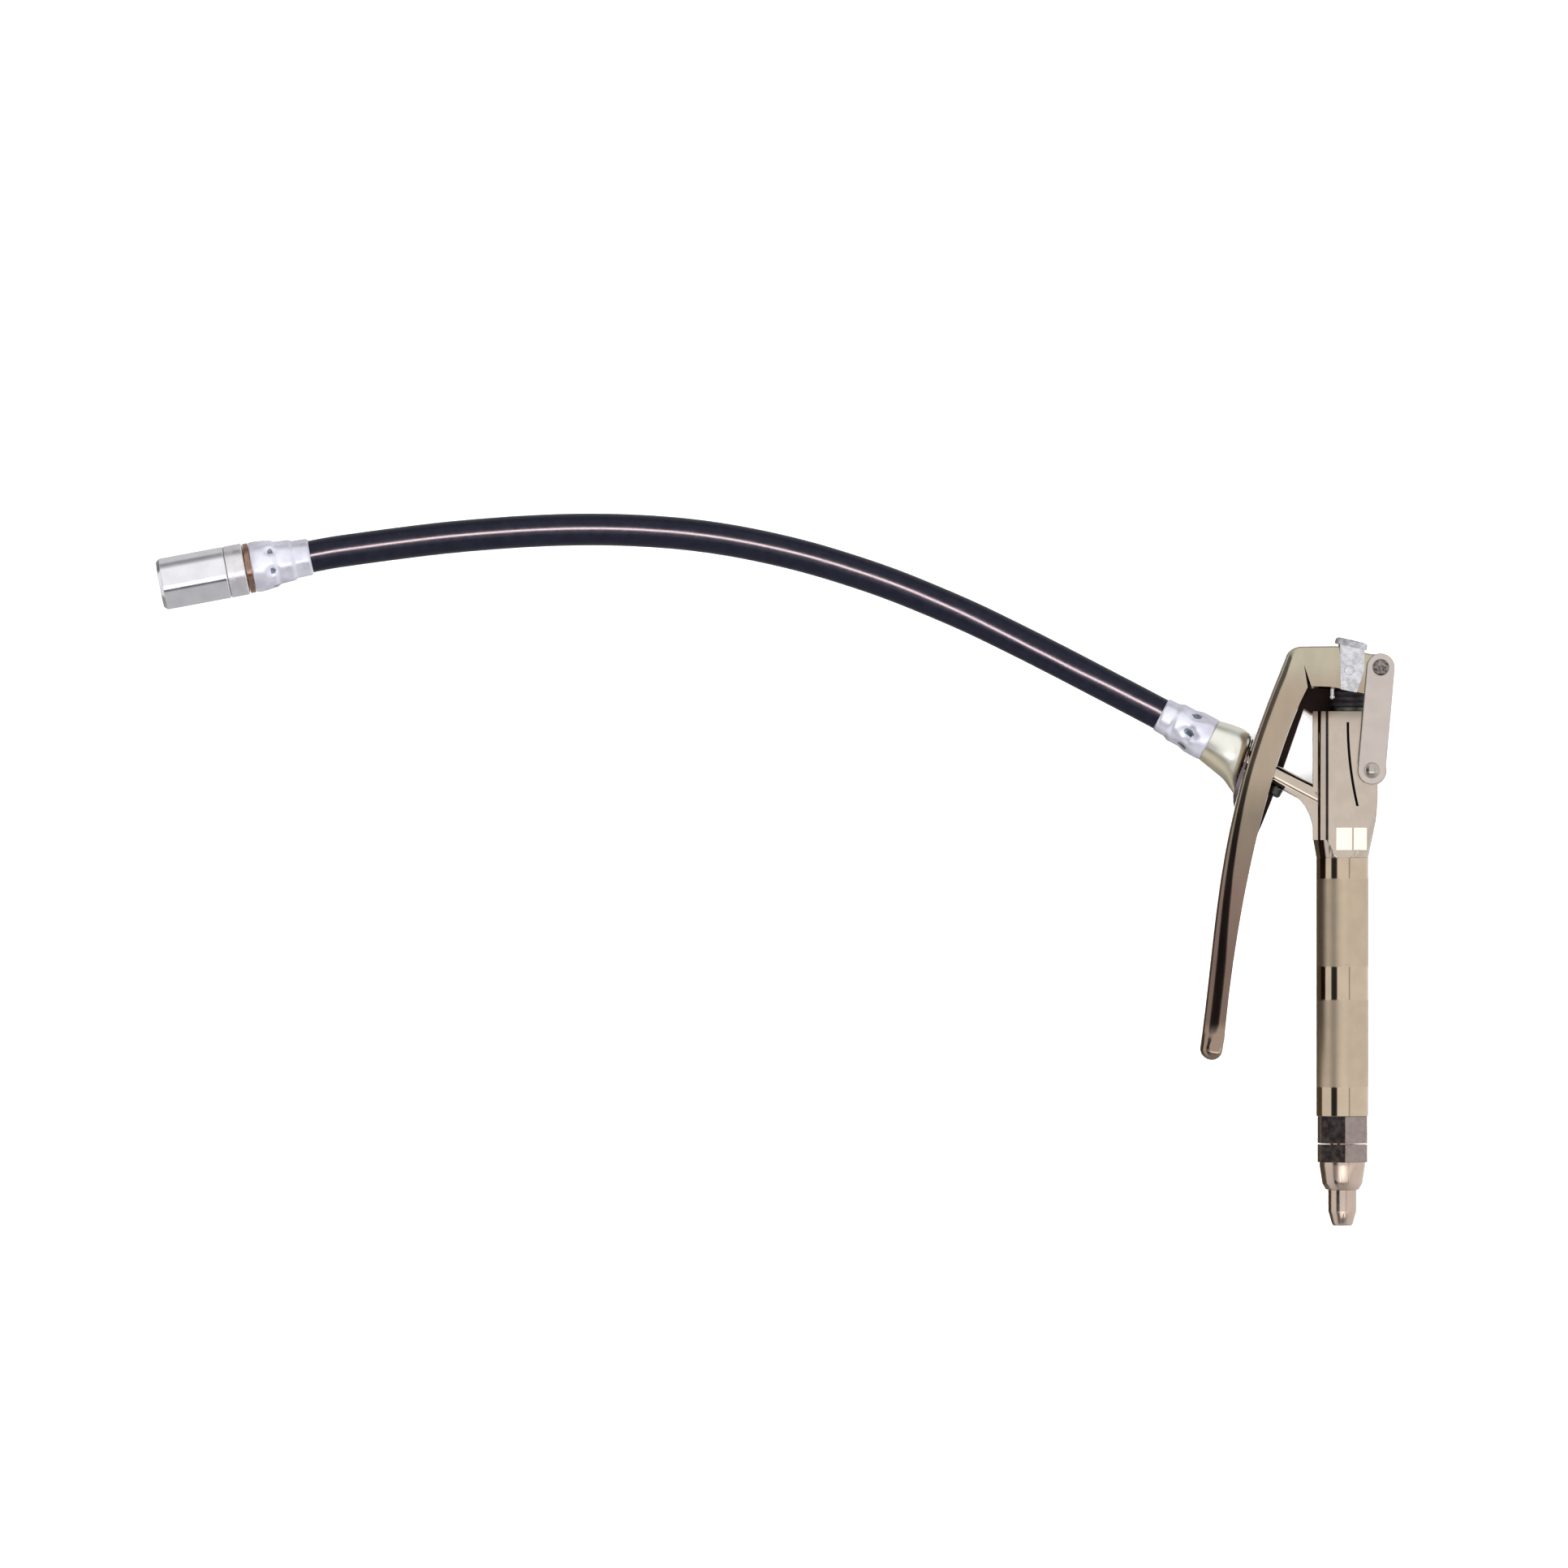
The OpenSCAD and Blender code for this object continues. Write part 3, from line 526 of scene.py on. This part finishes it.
def shade_crimps(o, place, dents):
    """Paints shade into the bottoms of the crimps, as a dark bluish material."""
    o.data.materials.append(CRIMP_SHADE)
    back = place.inverted()
    for p in o.data.polygons:
        at = back @ p.center / MM
        turn, r = math.atan2(at.y, at.x), math.hypot(at.x, at.y)
        for height, angle, _, length, width in dents:
            reach = ((at.z - height) / length) ** 2 + (off_by(turn, angle) * r / width) ** 2
            if r > BORE_R and reach < 0.3:
                p.material_index = 1


def crimped_ferrule(node, place, bore, wall, dents):
    """bore: its two (radius, height) points; wall: the outside, from the bore's second end to its first."""
    name = "crimped_ferrule_" + node.removesuffix("_ferrule")
    o = lathe(name, place, bore + fine(wall, 0.5), ZINC, "gun_body", dents=dents)
    shade_crimps(o, place, dents)
    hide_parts(node)
    return o


gun_ferrule = crimped_ferrule(
    "gun_ferrule", OUTLET, [(2.65, 60.4), (2.65, 41.51)],
    [(7.3, 41.51), (7.65, 42.1), (7.65, 47.5), (7.0, 49.9), (6.9, 54.5), (6.2, 56.0), (6.0, 59.8), (5.6, 60.4)],
    GUN_DENTS,
)
coupler_ferrule = crimped_ferrule(
    "coupler_ferrule", COUPLER, [(2.65, 20.3), (2.65, 0.0)],
    [(5.9, 0), (6.35, 0.6), (6.5, 5.5), (7.1, 6.6), (7.4, 11.5), (8.3, 12.8), (8.8, 18.5), (8.6, 20.3)],
    COUPLER_DENTS,
)

# ---------------------------------------------------------------- lever

LINK_TOP, LINK_EYE_R, LINK_PIN_R = (12.8, 191.0), 4.5, 2.05
YOKE_AT, YOKE_PIN_R = (2.0, 190.0), 1.63
HALF_WIDTH = 10.9
CHANNEL_HALF = 9.3
SHEET = 1.5
TIP_CENTRE, TIP_R = (-44.9, 60.4), 3.7
OUTER_CURVE = ((-18.9, 195), (-43.9, 136.6), (-41.8, 108.7), (-48.6, 60.4))
INNER_CURVE = ((-11.9, 184.7), (-22.2, 166), (-35.6, 119.5), (-40.6, 63.9))
LEG_STEPS = 30
OUTER_LEG = bezier(*OUTER_CURVE, LEG_STEPS)
OUTER_STEPS = 200
OUTER_LINE = bezier(*OUTER_CURVE, OUTER_STEPS)
INNER_LINE = bezier(*INNER_CURVE, 400)
LEG_WIDTH = 7.2  # at its widest, where the flank's tilts are given
# The tip is a bulb, a little thicker than the leg.
BULB_TOP, BULB_STEP, BULB_RISE, BULB_WIDTH = 66.2, 1.0, 0.5, 7.4
FAR_CORNER = bezier((-13, 176.4), (-17.5, 163), (-23.2, 146), (-29.9, 131.5), 20)
FAR_END, FAR_DROP = 131, 9 / 54  # the far flank is deeper down to this height, by this share of the rest
TILT_TOP, TILT_SPAN = 155, 65  # heights over which the flank changes from its upper to its lower shape
FOLD_AT, FOLD_R = (-14.2, 192.7), 5.5
CORNER = arc(FOLD_AT, FOLD_R, 90, 146, 8)
ARM_OUTER = [(9.2, 195.6), (-2.5, 198.3)]
ARM_NEAR = [(8.1, 181.9), (-3.9, 184.4)]
ARM_FAR = [(9.4, 176.6), (-2, 174.5)]
WEB_LINE = ARM_OUTER + arc(FOLD_AT, FOLD_R, 90, 146, 5) + OUTER_LEG + arc(TIP_CENTRE, TIP_R, -160, -10, 7)


def between(a, b, t):
    return (a[0] + (b[0] - a[0]) * t, a[1] + (b[1] - a[1]) * t)


def from_stretch(point, a, b):
    """How far a point in the plane is from the stretch between two others."""
    share = min(1.0, max(0.0, geometry.intersect_point_line(point, a, b)[1]))
    return (a + (b - a) * share - point).length


def clamped(x):
    return min(1.0, max(0.0, x))


def lever_stations():
    """(outer edge, near inner edge, far inner edge, share of the lower shape) from the link to the tip."""
    rows = []
    for angle in (4, 22, 40, 60):
        top, low = (arc(LINK_TOP, LINK_EYE_R, a, a, 1)[0] for a in (angle, -angle))
        rows.append((top, low, low, 0.0))
    rows.append(((13.74, 195.4), (13.96, 186.65), (12.6, 182.5), 0.0))
    for t in (0, 0.33, 0.66, 1):
        rows.append((between(*ARM_OUTER, t), between(*ARM_NEAR, t), between(*ARM_FAR, t), 0.0))
    rows.append((between(ARM_OUTER[1], CORNER[0], 0.5), (-7.3, 184.5), (-7, 174.5), 0.0))
    for i, p in enumerate(CORNER):
        t = i / (len(CORNER) - 1)
        near, far = between((-10.5, 184.6), INNER_CURVE[0], t), between((-10.5, 174.6), FAR_CORNER[0], t)
        rows.append((p, near, far, 0.0))
    reached = 0
    for t in [i / LEG_STEPS for i in range(1, LEG_STEPS - 1)] + [0.955, 0.965, 0.975, 0.985, 1.0]:
        outer = OUTER_LINE[round(t * OUTER_STEPS)]
        reached = nearest_from(reached, outer)
        near = far = INNER_LINE[reached]
        if near[1] > FAR_END:
            lowest = near[1] - FAR_DROP * (near[1] - FAR_END)
            over = [q for q in FAR_CORNER if q[1] >= lowest]
            far = over[-1] if over else FAR_CORNER[0]
        rows.append((outer, near, far, clamped((TILT_TOP - outer[1]) / TILT_SPAN)))
    turn = arc(TIP_CENTRE, TIP_R, 190, 348, 8)
    for i, p in enumerate(turn):
        inner = between((-40.7, 63.5), (-41.24, 60.0), (i + 1) / len(turn))
        rows.append((p, inner, inner, 1.0))
    return rows


def nearest_from(start, point):
    """The place on the inner line, from a start on, where it stops coming nearer to a point."""
    for k in range(start, len(INNER_LINE) - 1):
        if math.dist(point, INNER_LINE[k + 1]) > math.dist(point, INNER_LINE[k]):
            return k
    return len(INNER_LINE) - 1


# The flank's tilt in degrees, at distances from the leg's outer edge.
FLANK_UPPER = ((0, 84), (0.25, 50), (0.4, 26), (0.6, 25), (2.1, 13.5), (3.2, 0))
FLANK_LOWER = ((0, 84), (0.3, 46), (1.6, 28), (1.9, 25), (5.0, 13.5), (6.2, 0))
FLANK_TIP = ((0, 84), (0.8, 46), (1.8, 26), (2.6, 18), (3.4, 8), (4.2, 0))
FLANK_STEPS = (0, 0.05, 0.12, 0.3, 0.55, 1, 1.4, 1.8, 2.2, 2.6, 3, 3.4, 3.9, 4.4, 5, 5.5, 99)


def flank(width, share, bulb):
    """(distance from the outer edge, depth below the flank) pairs across the leg."""
    scale = min(1.0, width / LEG_WIDTH)
    mixed = [
        tuple((a + (b - a) * share) * (1 - bulb) + c * bulb for a, b, c in zip(*stop))
        for stop in zip(FLANK_UPPER, FLANK_LOWER, FLANK_TIP)
    ]
    fine_step = 0.02
    depths, total = [0.0], 0.0
    for i in range(round(mixed[-1][0] / fine_step), 0, -1):
        d = (i - 0.5) * fine_step
        for (d1, tilt1), (d2, tilt2) in zip(mixed, mixed[1:]):
            if d1 <= d <= d2:
                tilt = tilt1 + (tilt2 - tilt1) * (d - d1) / (d2 - d1)
                total += fine_step * math.tan(math.radians(tilt))
                break
        depths.append(total)
    depths.reverse()
    pairs = []
    for step in FLANK_STEPS:
        k = min(len(depths) - 1, round(step / fine_step))
        pairs.append((min(step * scale, width), depths[k] * scale))
    return pairs


def lever_points(rows):
    """One loop round both flanks at each station, from the near inner edge to the far one."""
    points = []
    for outer, near, far, share in rows:
        bulb = clamped((BULB_TOP - outer[1]) / BULB_STEP)
        for inner, side in ((near, 1), (far, -1)):
            width = math.dist(outer, inner)
            half = HALF_WIDTH + BULB_RISE * bulb * min(1.0, width / BULB_WIDTH)
            across = []
            for d, drop in flank(width, share, bulb):
                u, v = between(outer, inner, min(1.0, d / max(width, 1e-6)))
                across.append(gun(u, v, side * (half - drop)))
            points += across[::-1] if side > 0 else across
    return points


# The slot that the body's arm passes through: its middle, its turn in degrees, its half length and radius.
SLOT_AT, SLOT_TURN, SLOT_HALF, SLOT_R = (-31.6, 160.4), -19.5, 5.05, 4.2
# The cap screw: along the arm from its outer corner, its lean, and its hole.
CAP_ALONG, ARM_LEAN, CAP_HOLE_R = 5.2, -13, 2.43
FOLD_NOTCH = [(-13.4, 192), (-10.7, 184), (-12.1, 184)]
THROUGH = 20  # half the length of the tools that cut right through


def arm_slot():
    place = Matrix.Translation(gun(*SLOT_AT)) @ Matrix.Rotation(math.radians(SLOT_TURN), 4, "Z")
    stadium = []
    for sign in (1, -1):
        start = 90 * (1 - sign)
        stadium += arc((0, sign * SLOT_HALF), SLOT_R, start, start + 180, 12)
    return column(place @ Matrix.Rotation(math.radians(90), 4, "Y"), stadium, -6, 6)


def cap_screw_hole():
    slope = math.radians(ARM_LEAN)
    corner = ARM_OUTER[1]
    at = gun(corner[0] + CAP_ALONG * math.cos(slope), corner[1] + CAP_ALONG * math.sin(slope))
    return rod(axis_frame(at, 90 + ARM_LEAN), CAP_HOLE_R, -10, 10)


def shade_channel(lever):
    """Paints shade on the channel's inside: its flanks and its outer web get a near-black."""
    lever.data.materials.append(CHANNEL_PAINTED_SHADE)
    web = [gun(u, v).xy for u, v in moved_left(WEB_LINE, SHEET)]
    for p in lever.data.polygons:
        w = p.center.z / MM - GUN_AT[2]
        on_flank = abs(abs(w) - CHANNEL_HALF) < 0.02 and abs(p.normal.z) > 0.9
        on_web = abs(w) < CHANNEL_HALF - 0.1 and any(
            from_stretch(p.center.xy, a, b) < 0.05 * MM for a, b in zip(web, web[1:])
        )
        if on_flank or on_web:
            p.material_index = 1


def build_lever():
    rows = lever_stations()
    faces = stacked(len(rows), 2 * len(FLANK_STEPS))
    lever = mesh_piece("pressed_lever", lever_points(rows), faces, LEVER_NICKEL, "hand_lever")
    b = bmesh.new()
    b.from_mesh(lever.data)
    bmesh.ops.remove_doubles(b, verts=b.verts, dist=2e-6)
    bmesh.ops.dissolve_degenerate(b, edges=b.edges, dist=1e-6)
    bmesh.ops.recalc_face_normals(b, faces=b.faces)
    b.to_mesh(lever.data)
    b.free()

    open_side = [(30, 50), (30, 205), (ARM_OUTER[0][0], 205)]
    cut_away(lever, [
        prism(open_side + moved_left(WEB_LINE, SHEET), -CHANNEL_HALF, CHANNEL_HALF),
        arm_slot(),
        rod(Matrix.Translation(gun(*LINK_TOP)), LINK_PIN_R, -THROUGH, THROUGH),
        rod(Matrix.Translation(gun(*YOKE_AT)), YOKE_PIN_R, -THROUGH, THROUGH),
        cap_screw_hole(),
        prism(FOLD_NOTCH, 8.4, 12.4),
    ])
    shade_channel(lever)
    soften(lever, 0.1, 60)
    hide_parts("lever")


build_lever()

# ---------------------------------------------------------------- domed link pin

LOWER_PIN_AT, AXIS_GAP = (9.7, 155.8), 0.04
DOME_R, HEAD_R, HEAD_AT, HEAD_TOP = 4.31, 2.7, 13.51, 14.81
SHANK = [
    (AXIS_GAP, -15), (1.8, -15), (2, -14.8), (2, -14.4), (1.4, -14.4), (1.4, -13.6), (2, -13.6), (2, HEAD_AT),
]
dome_radii = [HEAD_R * k / 10 for k in range(10, 0, -1)]
dome = [(r, HEAD_TOP - DOME_R + math.sqrt(DOME_R**2 - r**2)) for r in dome_radii]
domed_pin = lathe(
    "domed_pin", Matrix.Translation(gun(*LOWER_PIN_AT)),
    SHANK + [(HEAD_R, HEAD_AT)] + dome + [(AXIS_GAP, HEAD_TOP)], PIN_DOME, "links", sides=64,
)
soften(domed_pin, 0.08, 50)
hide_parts("link_pin_lower")

# ---------------------------------------------------------------- outlet boss

# Ellipses across the outlet: (height and offset of the upper end, the same of the lower end, half depth).
BOSS_RINGS = [
    ((41.5, 7.5), (41.5, -7.5), 7.5), ((38.5, 8.15), (38.3, -8.15), 8.1), ((36, 8.6), (35.6, -8.65), 8.5),
    ((33.6, 8.85), (32.8, -9.2), 8.75), ((31.8, 8.75), (30.8, -9.7), 8.5), ((30.5, 8.4), (29.5, -10.3), 7.9),
    ((29.4, 7.6), (28.4, -10.9), 7.0), ((28.7, 6.3), (27.4, -11.4), 5.9), ((28.4, 4.6), (26.6, -11.8), 4.9),
    ((28.3, 2.0), (26.0, -12.1), 4.0), ((28.2, -2.0), (25.5, -12.3), 3.2),
]


SPIGOT_BORE = 3.43  # the body's arm ends in a spigot, inside the boss and its shoulder
# The boss's bores along the outlet, the same as the part's: (radius, from, to).
BOSS_BORES = ((SPIGOT_BORE, 20, 30.3), (1.4, 29, 32), (3.2, 31.1, 38), (4.2, 37, 43))


def build_boss():
    points, n = [], 48
    for upper, lower, depth in BOSS_RINGS:
        a, b = (Vector((0, -s, t)) for t, s in (upper, lower))
        middle, half = (a + b) / 2, (b - a) / 2
        for k in range(n):
            turn = 2 * math.pi * k / n
            at = middle + half * math.sin(turn) + Vector((depth * math.cos(turn), 0, 0))
            points.append(OUTLET @ (at * MM))
    boss = mesh_piece("flared_boss", points, stacked(len(BOSS_RINGS), n), BOSS_CREAM, "gun_body")
    cut_away(boss, [rod(OUTLET, *bore) for bore in BOSS_BORES])
    # Painted shade: the boss's faces that turn downwards get the darker copy of its cream.
    boss.data.materials.append(BOSS_PAINTED_SHADE)
    across = OUTLET.to_3x3() @ Vector((0, 1, 0))
    for p in boss.data.polygons:
        if p.normal.dot(across) > 0.42:
            p.material_index = 1
    soften(boss, 0.3)
    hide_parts("outlet_boss")


build_boss()

# The boss's shoulder, an oval plate between its heel and the lever, near-black as painted shade: its outline
# from the side.
SHOULDER = [
    (-31.0, 166.4), (-31.7, 163), (-32.5, 160.5), (-34.1, 157.6), (-35.5, 154.2), (-36.7, 150.4),
    (-37.3, 147.2), (-37.3, 145.0), (-37.0, 143.2), (-36.6, 145.0), (-36.0, 147.2), (-35.2, 150.4),
    (-34.1, 154.4), (-33.0, 158.2), (-31.8, 162.2), (-30.4, 166.4),
]
OVAL_AT, OVAL_DEEP, OVAL_LONG = 4.63, 6.5, 12.4  # its middle and half widths, seen along the outlet
shoulder = prism(SHOULDER, -OVAL_DEEP, OVAL_DEEP)
shoulder.name = "boss_shoulder"
shoulder.data.materials.append(SHOULDER_PAINTED_SHADE)
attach(shoulder, "gun_body")
oval = OUTLET @ Matrix.Translation(Vector((0, OVAL_AT, 0)) * MM) @ Matrix.Diagonal((OVAL_DEEP, OVAL_LONG, 1, 1))
cut_away(shoulder, [rod(oval, 1, 15, 36, 96)], "INTERSECT")
cut_away(shoulder, [rod(OUTLET, SPIGOT_BORE, 20, 32)])
soften(shoulder, 0.6, 40)

# ---------------------------------------------------------------- boot and springs

PLUNGER = axis_frame(gun(2, 0), 90.0)
INLET = axis_frame(gun(0, 0), 90.0)
BOOT_LOW, FOLDS, FOLD, LID = 177.42, 3, 2.05, 0.5
FOLD_LINE = ((5.7, 0), (6.1, 0.2), (6.32, 0.6), (6.35, 1.0), (6.32, 1.4), (6.1, 1.75), (5.7, 1.95))
STROKE = 2.5


def squash_along(o):
    """Gives a piece a mesh of its own."""
    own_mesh(o)


boot_wall = [(r, BOOT_LOW + i * FOLD + rise) for i in range(FOLDS) for r, rise in FOLD_LINE]
top = BOOT_LOW + FOLDS * FOLD
boot_lid = [(5.6, top + 0.3), (5.2, top + LID), (3.05, top + LID), (3.05, top), (5.15, top)]
boot = lathe(
    "folded_boot", PLUNGER, [(5.15, BOOT_LOW)] + boot_wall + boot_lid,
    BLACK_RUBBER, "gun_body", sides=72,
)
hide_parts("dust_boot")
squash_along(boot)


def wound_spring(node, place, low, height, coil_r, wire, turns, held, joint, travel):
    """Round wire wound from low up the axis, in place of a node."""
    per_turn, round_wire = 32, 10
    steps = turns * per_turn
    points = []
    for i in range(steps + 1):
        a = 2 * math.pi * i / per_turn
        for k in range(round_wire):
            b = 2 * math.pi * k / round_wire
            r = coil_r + wire * math.cos(b)
            z = low + wire + (height - 2 * wire) * i / steps + wire * math.sin(b)
            points.append(place @ (Vector((r * math.cos(a), r * math.sin(a), z)) * MM))
    faces = stacked(steps + 1, round_wire)
    coil = mesh_piece("wound_" + node, points, faces, SPRING_STEEL, "gun_body")
    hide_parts(node)
    squash_along(coil)
    return coil


# Node, axis, low end, height, coil and wire radius, turns, held end, joint, and how much it shortens.
SPRINGS = (
    ("return_spring", PLUNGER, BOOT_LOW, 4.3, 4.2, 0.45, 3, BOOT_LOW, "plunger_stroke", STROKE),
    ("inlet_spring", INLET, 122.2, 4.7, 2.6, 0.35, 4, 126.9, "inlet_ball_lift", 1.2),
    ("outlet_spring", OUTLET, 34.3, 3.0, 2.2, 0.3, 3, 37.3, "outlet_ball_lift", 1.2),
    ("coupler_spring", COUPLER, 31.8, 6.2, 3.4, 0.5, 4, 31.8, "coupler_core_push", 1.5),
)
coils = {spring[0]: wound_spring(*spring) for spring in SPRINGS}

# ---------------------------------------------------------------- floor, room and lights

HALF_FLOOR, FLOOR_DROP = 40.0, 0.0002
floor_mesh = bpy.data.meshes.new("floor")
corners = [(x * HALF_FLOOR, y * HALF_FLOOR, -FLOOR_DROP) for x, y in ((-1, -1), (1, -1), (1, 1), (-1, 1))]
floor_mesh.from_pydata(corners, [], [(0, 1, 2, 3)])
floor = bpy.data.objects.new("floor", floor_mesh)
scene.collection.objects.link(floor)
floor_look = bpy.data.materials.new("floor")
floor_look.use_nodes = True
paint = floor_look.node_tree.nodes["Principled BSDF"]
paint.inputs["Base Color"].default_value = (0.9, 0.9, 0.9, 1)
paint.inputs["Roughness"].default_value = 1.0
paint.inputs["Specular IOR Level"].default_value = 0.0
floor_mesh.materials.append(floor_look)
floor.visible_glossy = False

BROWN, BRIGHT, DARK, DULL = (0.10, 0.075, 0.05), (0.95, 0.95, 0.95), (0.03, 0.03, 0.035), (0.08, 0.08, 0.1)


def grey(k):
    return (k, k, k)


# What the metal reflects, by the angle in degrees from straight up: across the gun, and along it.
ACROSS = [
    (-180, BROWN), (-108, BROWN), (-100, grey(0.9)), (-55, grey(0.9)), (-50, DARK), (-27, DARK),
    (-22, grey(1)), (26, grey(1)), (28, grey(0.45)), (31, grey(0.45)), (34, BRIGHT), (180, BRIGHT),
]
ALONG = [
    (-180, grey(0.5)), (-40, grey(0.5)), (-35, DULL), (-27, DULL), (-25, grey(2.4)), (-15, grey(2.4)),
    (-12, grey(1)), (66, grey(1)), (75, grey(0.6)), (85, grey(0.3)), (95, grey(0.3)),
    (108, grey(0.65)), (180, grey(0.65)),
]


def math_node(tree, operation, *inputs):
    """A Math node whose inputs are sockets or numbers."""
    node = tree.nodes.new("ShaderNodeMath")
    node.operation = operation
    for socket, value in zip(node.inputs, inputs):
        if isinstance(value, (int, float)):
            socket.default_value = value
        else:
            tree.links.new(value, socket)
    return node.outputs[0]


def make_room():
    """Soft bands all round for the metal to reflect; the camera itself sees plain white."""
    world = bpy.data.worlds.new("room")
    scene.world = world
    world.use_nodes = True
    tree = world.node_tree
    look = tree.nodes.new("ShaderNodeTexCoord")
    split = tree.nodes.new("ShaderNodeSeparateXYZ")
    tree.links.new(look.outputs["Generated"], split.inputs["Vector"])
    x, y, z = split.outputs
    tones = []
    for side, stops in ((x, ACROSS), (y, ALONG)):
        angle = math_node(tree, "ARCTAN2", side, z)
        share = math_node(tree, "MULTIPLY_ADD", angle, 1 / (2 * math.pi), 0.5)
        tones.append(ramp_node(tree, share, [((a + 180) / 360, c) for a, c in stops]))
    x2, y2 = (math_node(tree, "MULTIPLY", side, side) for side in (x, y))
    both = tree.nodes.new("ShaderNodeMix")
    both.data_type = "RGBA"
    tree.links.new(math_node(tree, "DIVIDE", x2, math_node(tree, "ADD", x2, y2)), both.inputs["Factor"])
    tree.links.new(tones[1], both.inputs[6])
    tree.links.new(tones[0], both.inputs[7])
    seen = tree.nodes["Background"]
    tree.links.new(both.outputs[2], seen.inputs["Color"])
    plain = tree.nodes.new("ShaderNodeBackground")
    plain.inputs["Color"].default_value = (1, 1, 1, 1)
    pick = tree.nodes.new("ShaderNodeMixShader")
    path = tree.nodes.new("ShaderNodeLightPath")
    tree.links.new(path.outputs["Is Camera Ray"], pick.inputs["Fac"])
    tree.links.new(seen.outputs["Background"], pick.inputs[1])
    tree.links.new(plain.outputs["Background"], pick.inputs[2])
    tree.links.new(pick.outputs["Shader"], tree.nodes["World Output"].inputs["Surface"])


def soft_light(name, power, size, at, colour=(1, 1, 1)):
    data = bpy.data.lights.new(name, "AREA")
    data.shape = "RECTANGLE"
    data.size, data.size_y = size
    data.energy = power
    data.color = colour
    light = bpy.data.objects.new(name, data)
    light.location = at
    light.rotation_euler = Vector(at).to_track_quat("Z", "Y").to_euler()
    light.visible_camera = False
    scene.collection.objects.link(light)
    return light


make_room()
overhead = soft_light("overhead", 2400, (8, 8), (0, 0, 9))
overhead.visible_glossy = False
glint = soft_light("hose_glint", 9000, (12, 1.5), (-0.17, 1.35, 9), (1.0, 0.78, 0.82))
glint.visible_diffuse = False
only_hose = bpy.data.collections.new("lit_by_glint")
only_hose.objects.link(hose)
glint.light_linking.receiver_collection = only_hose
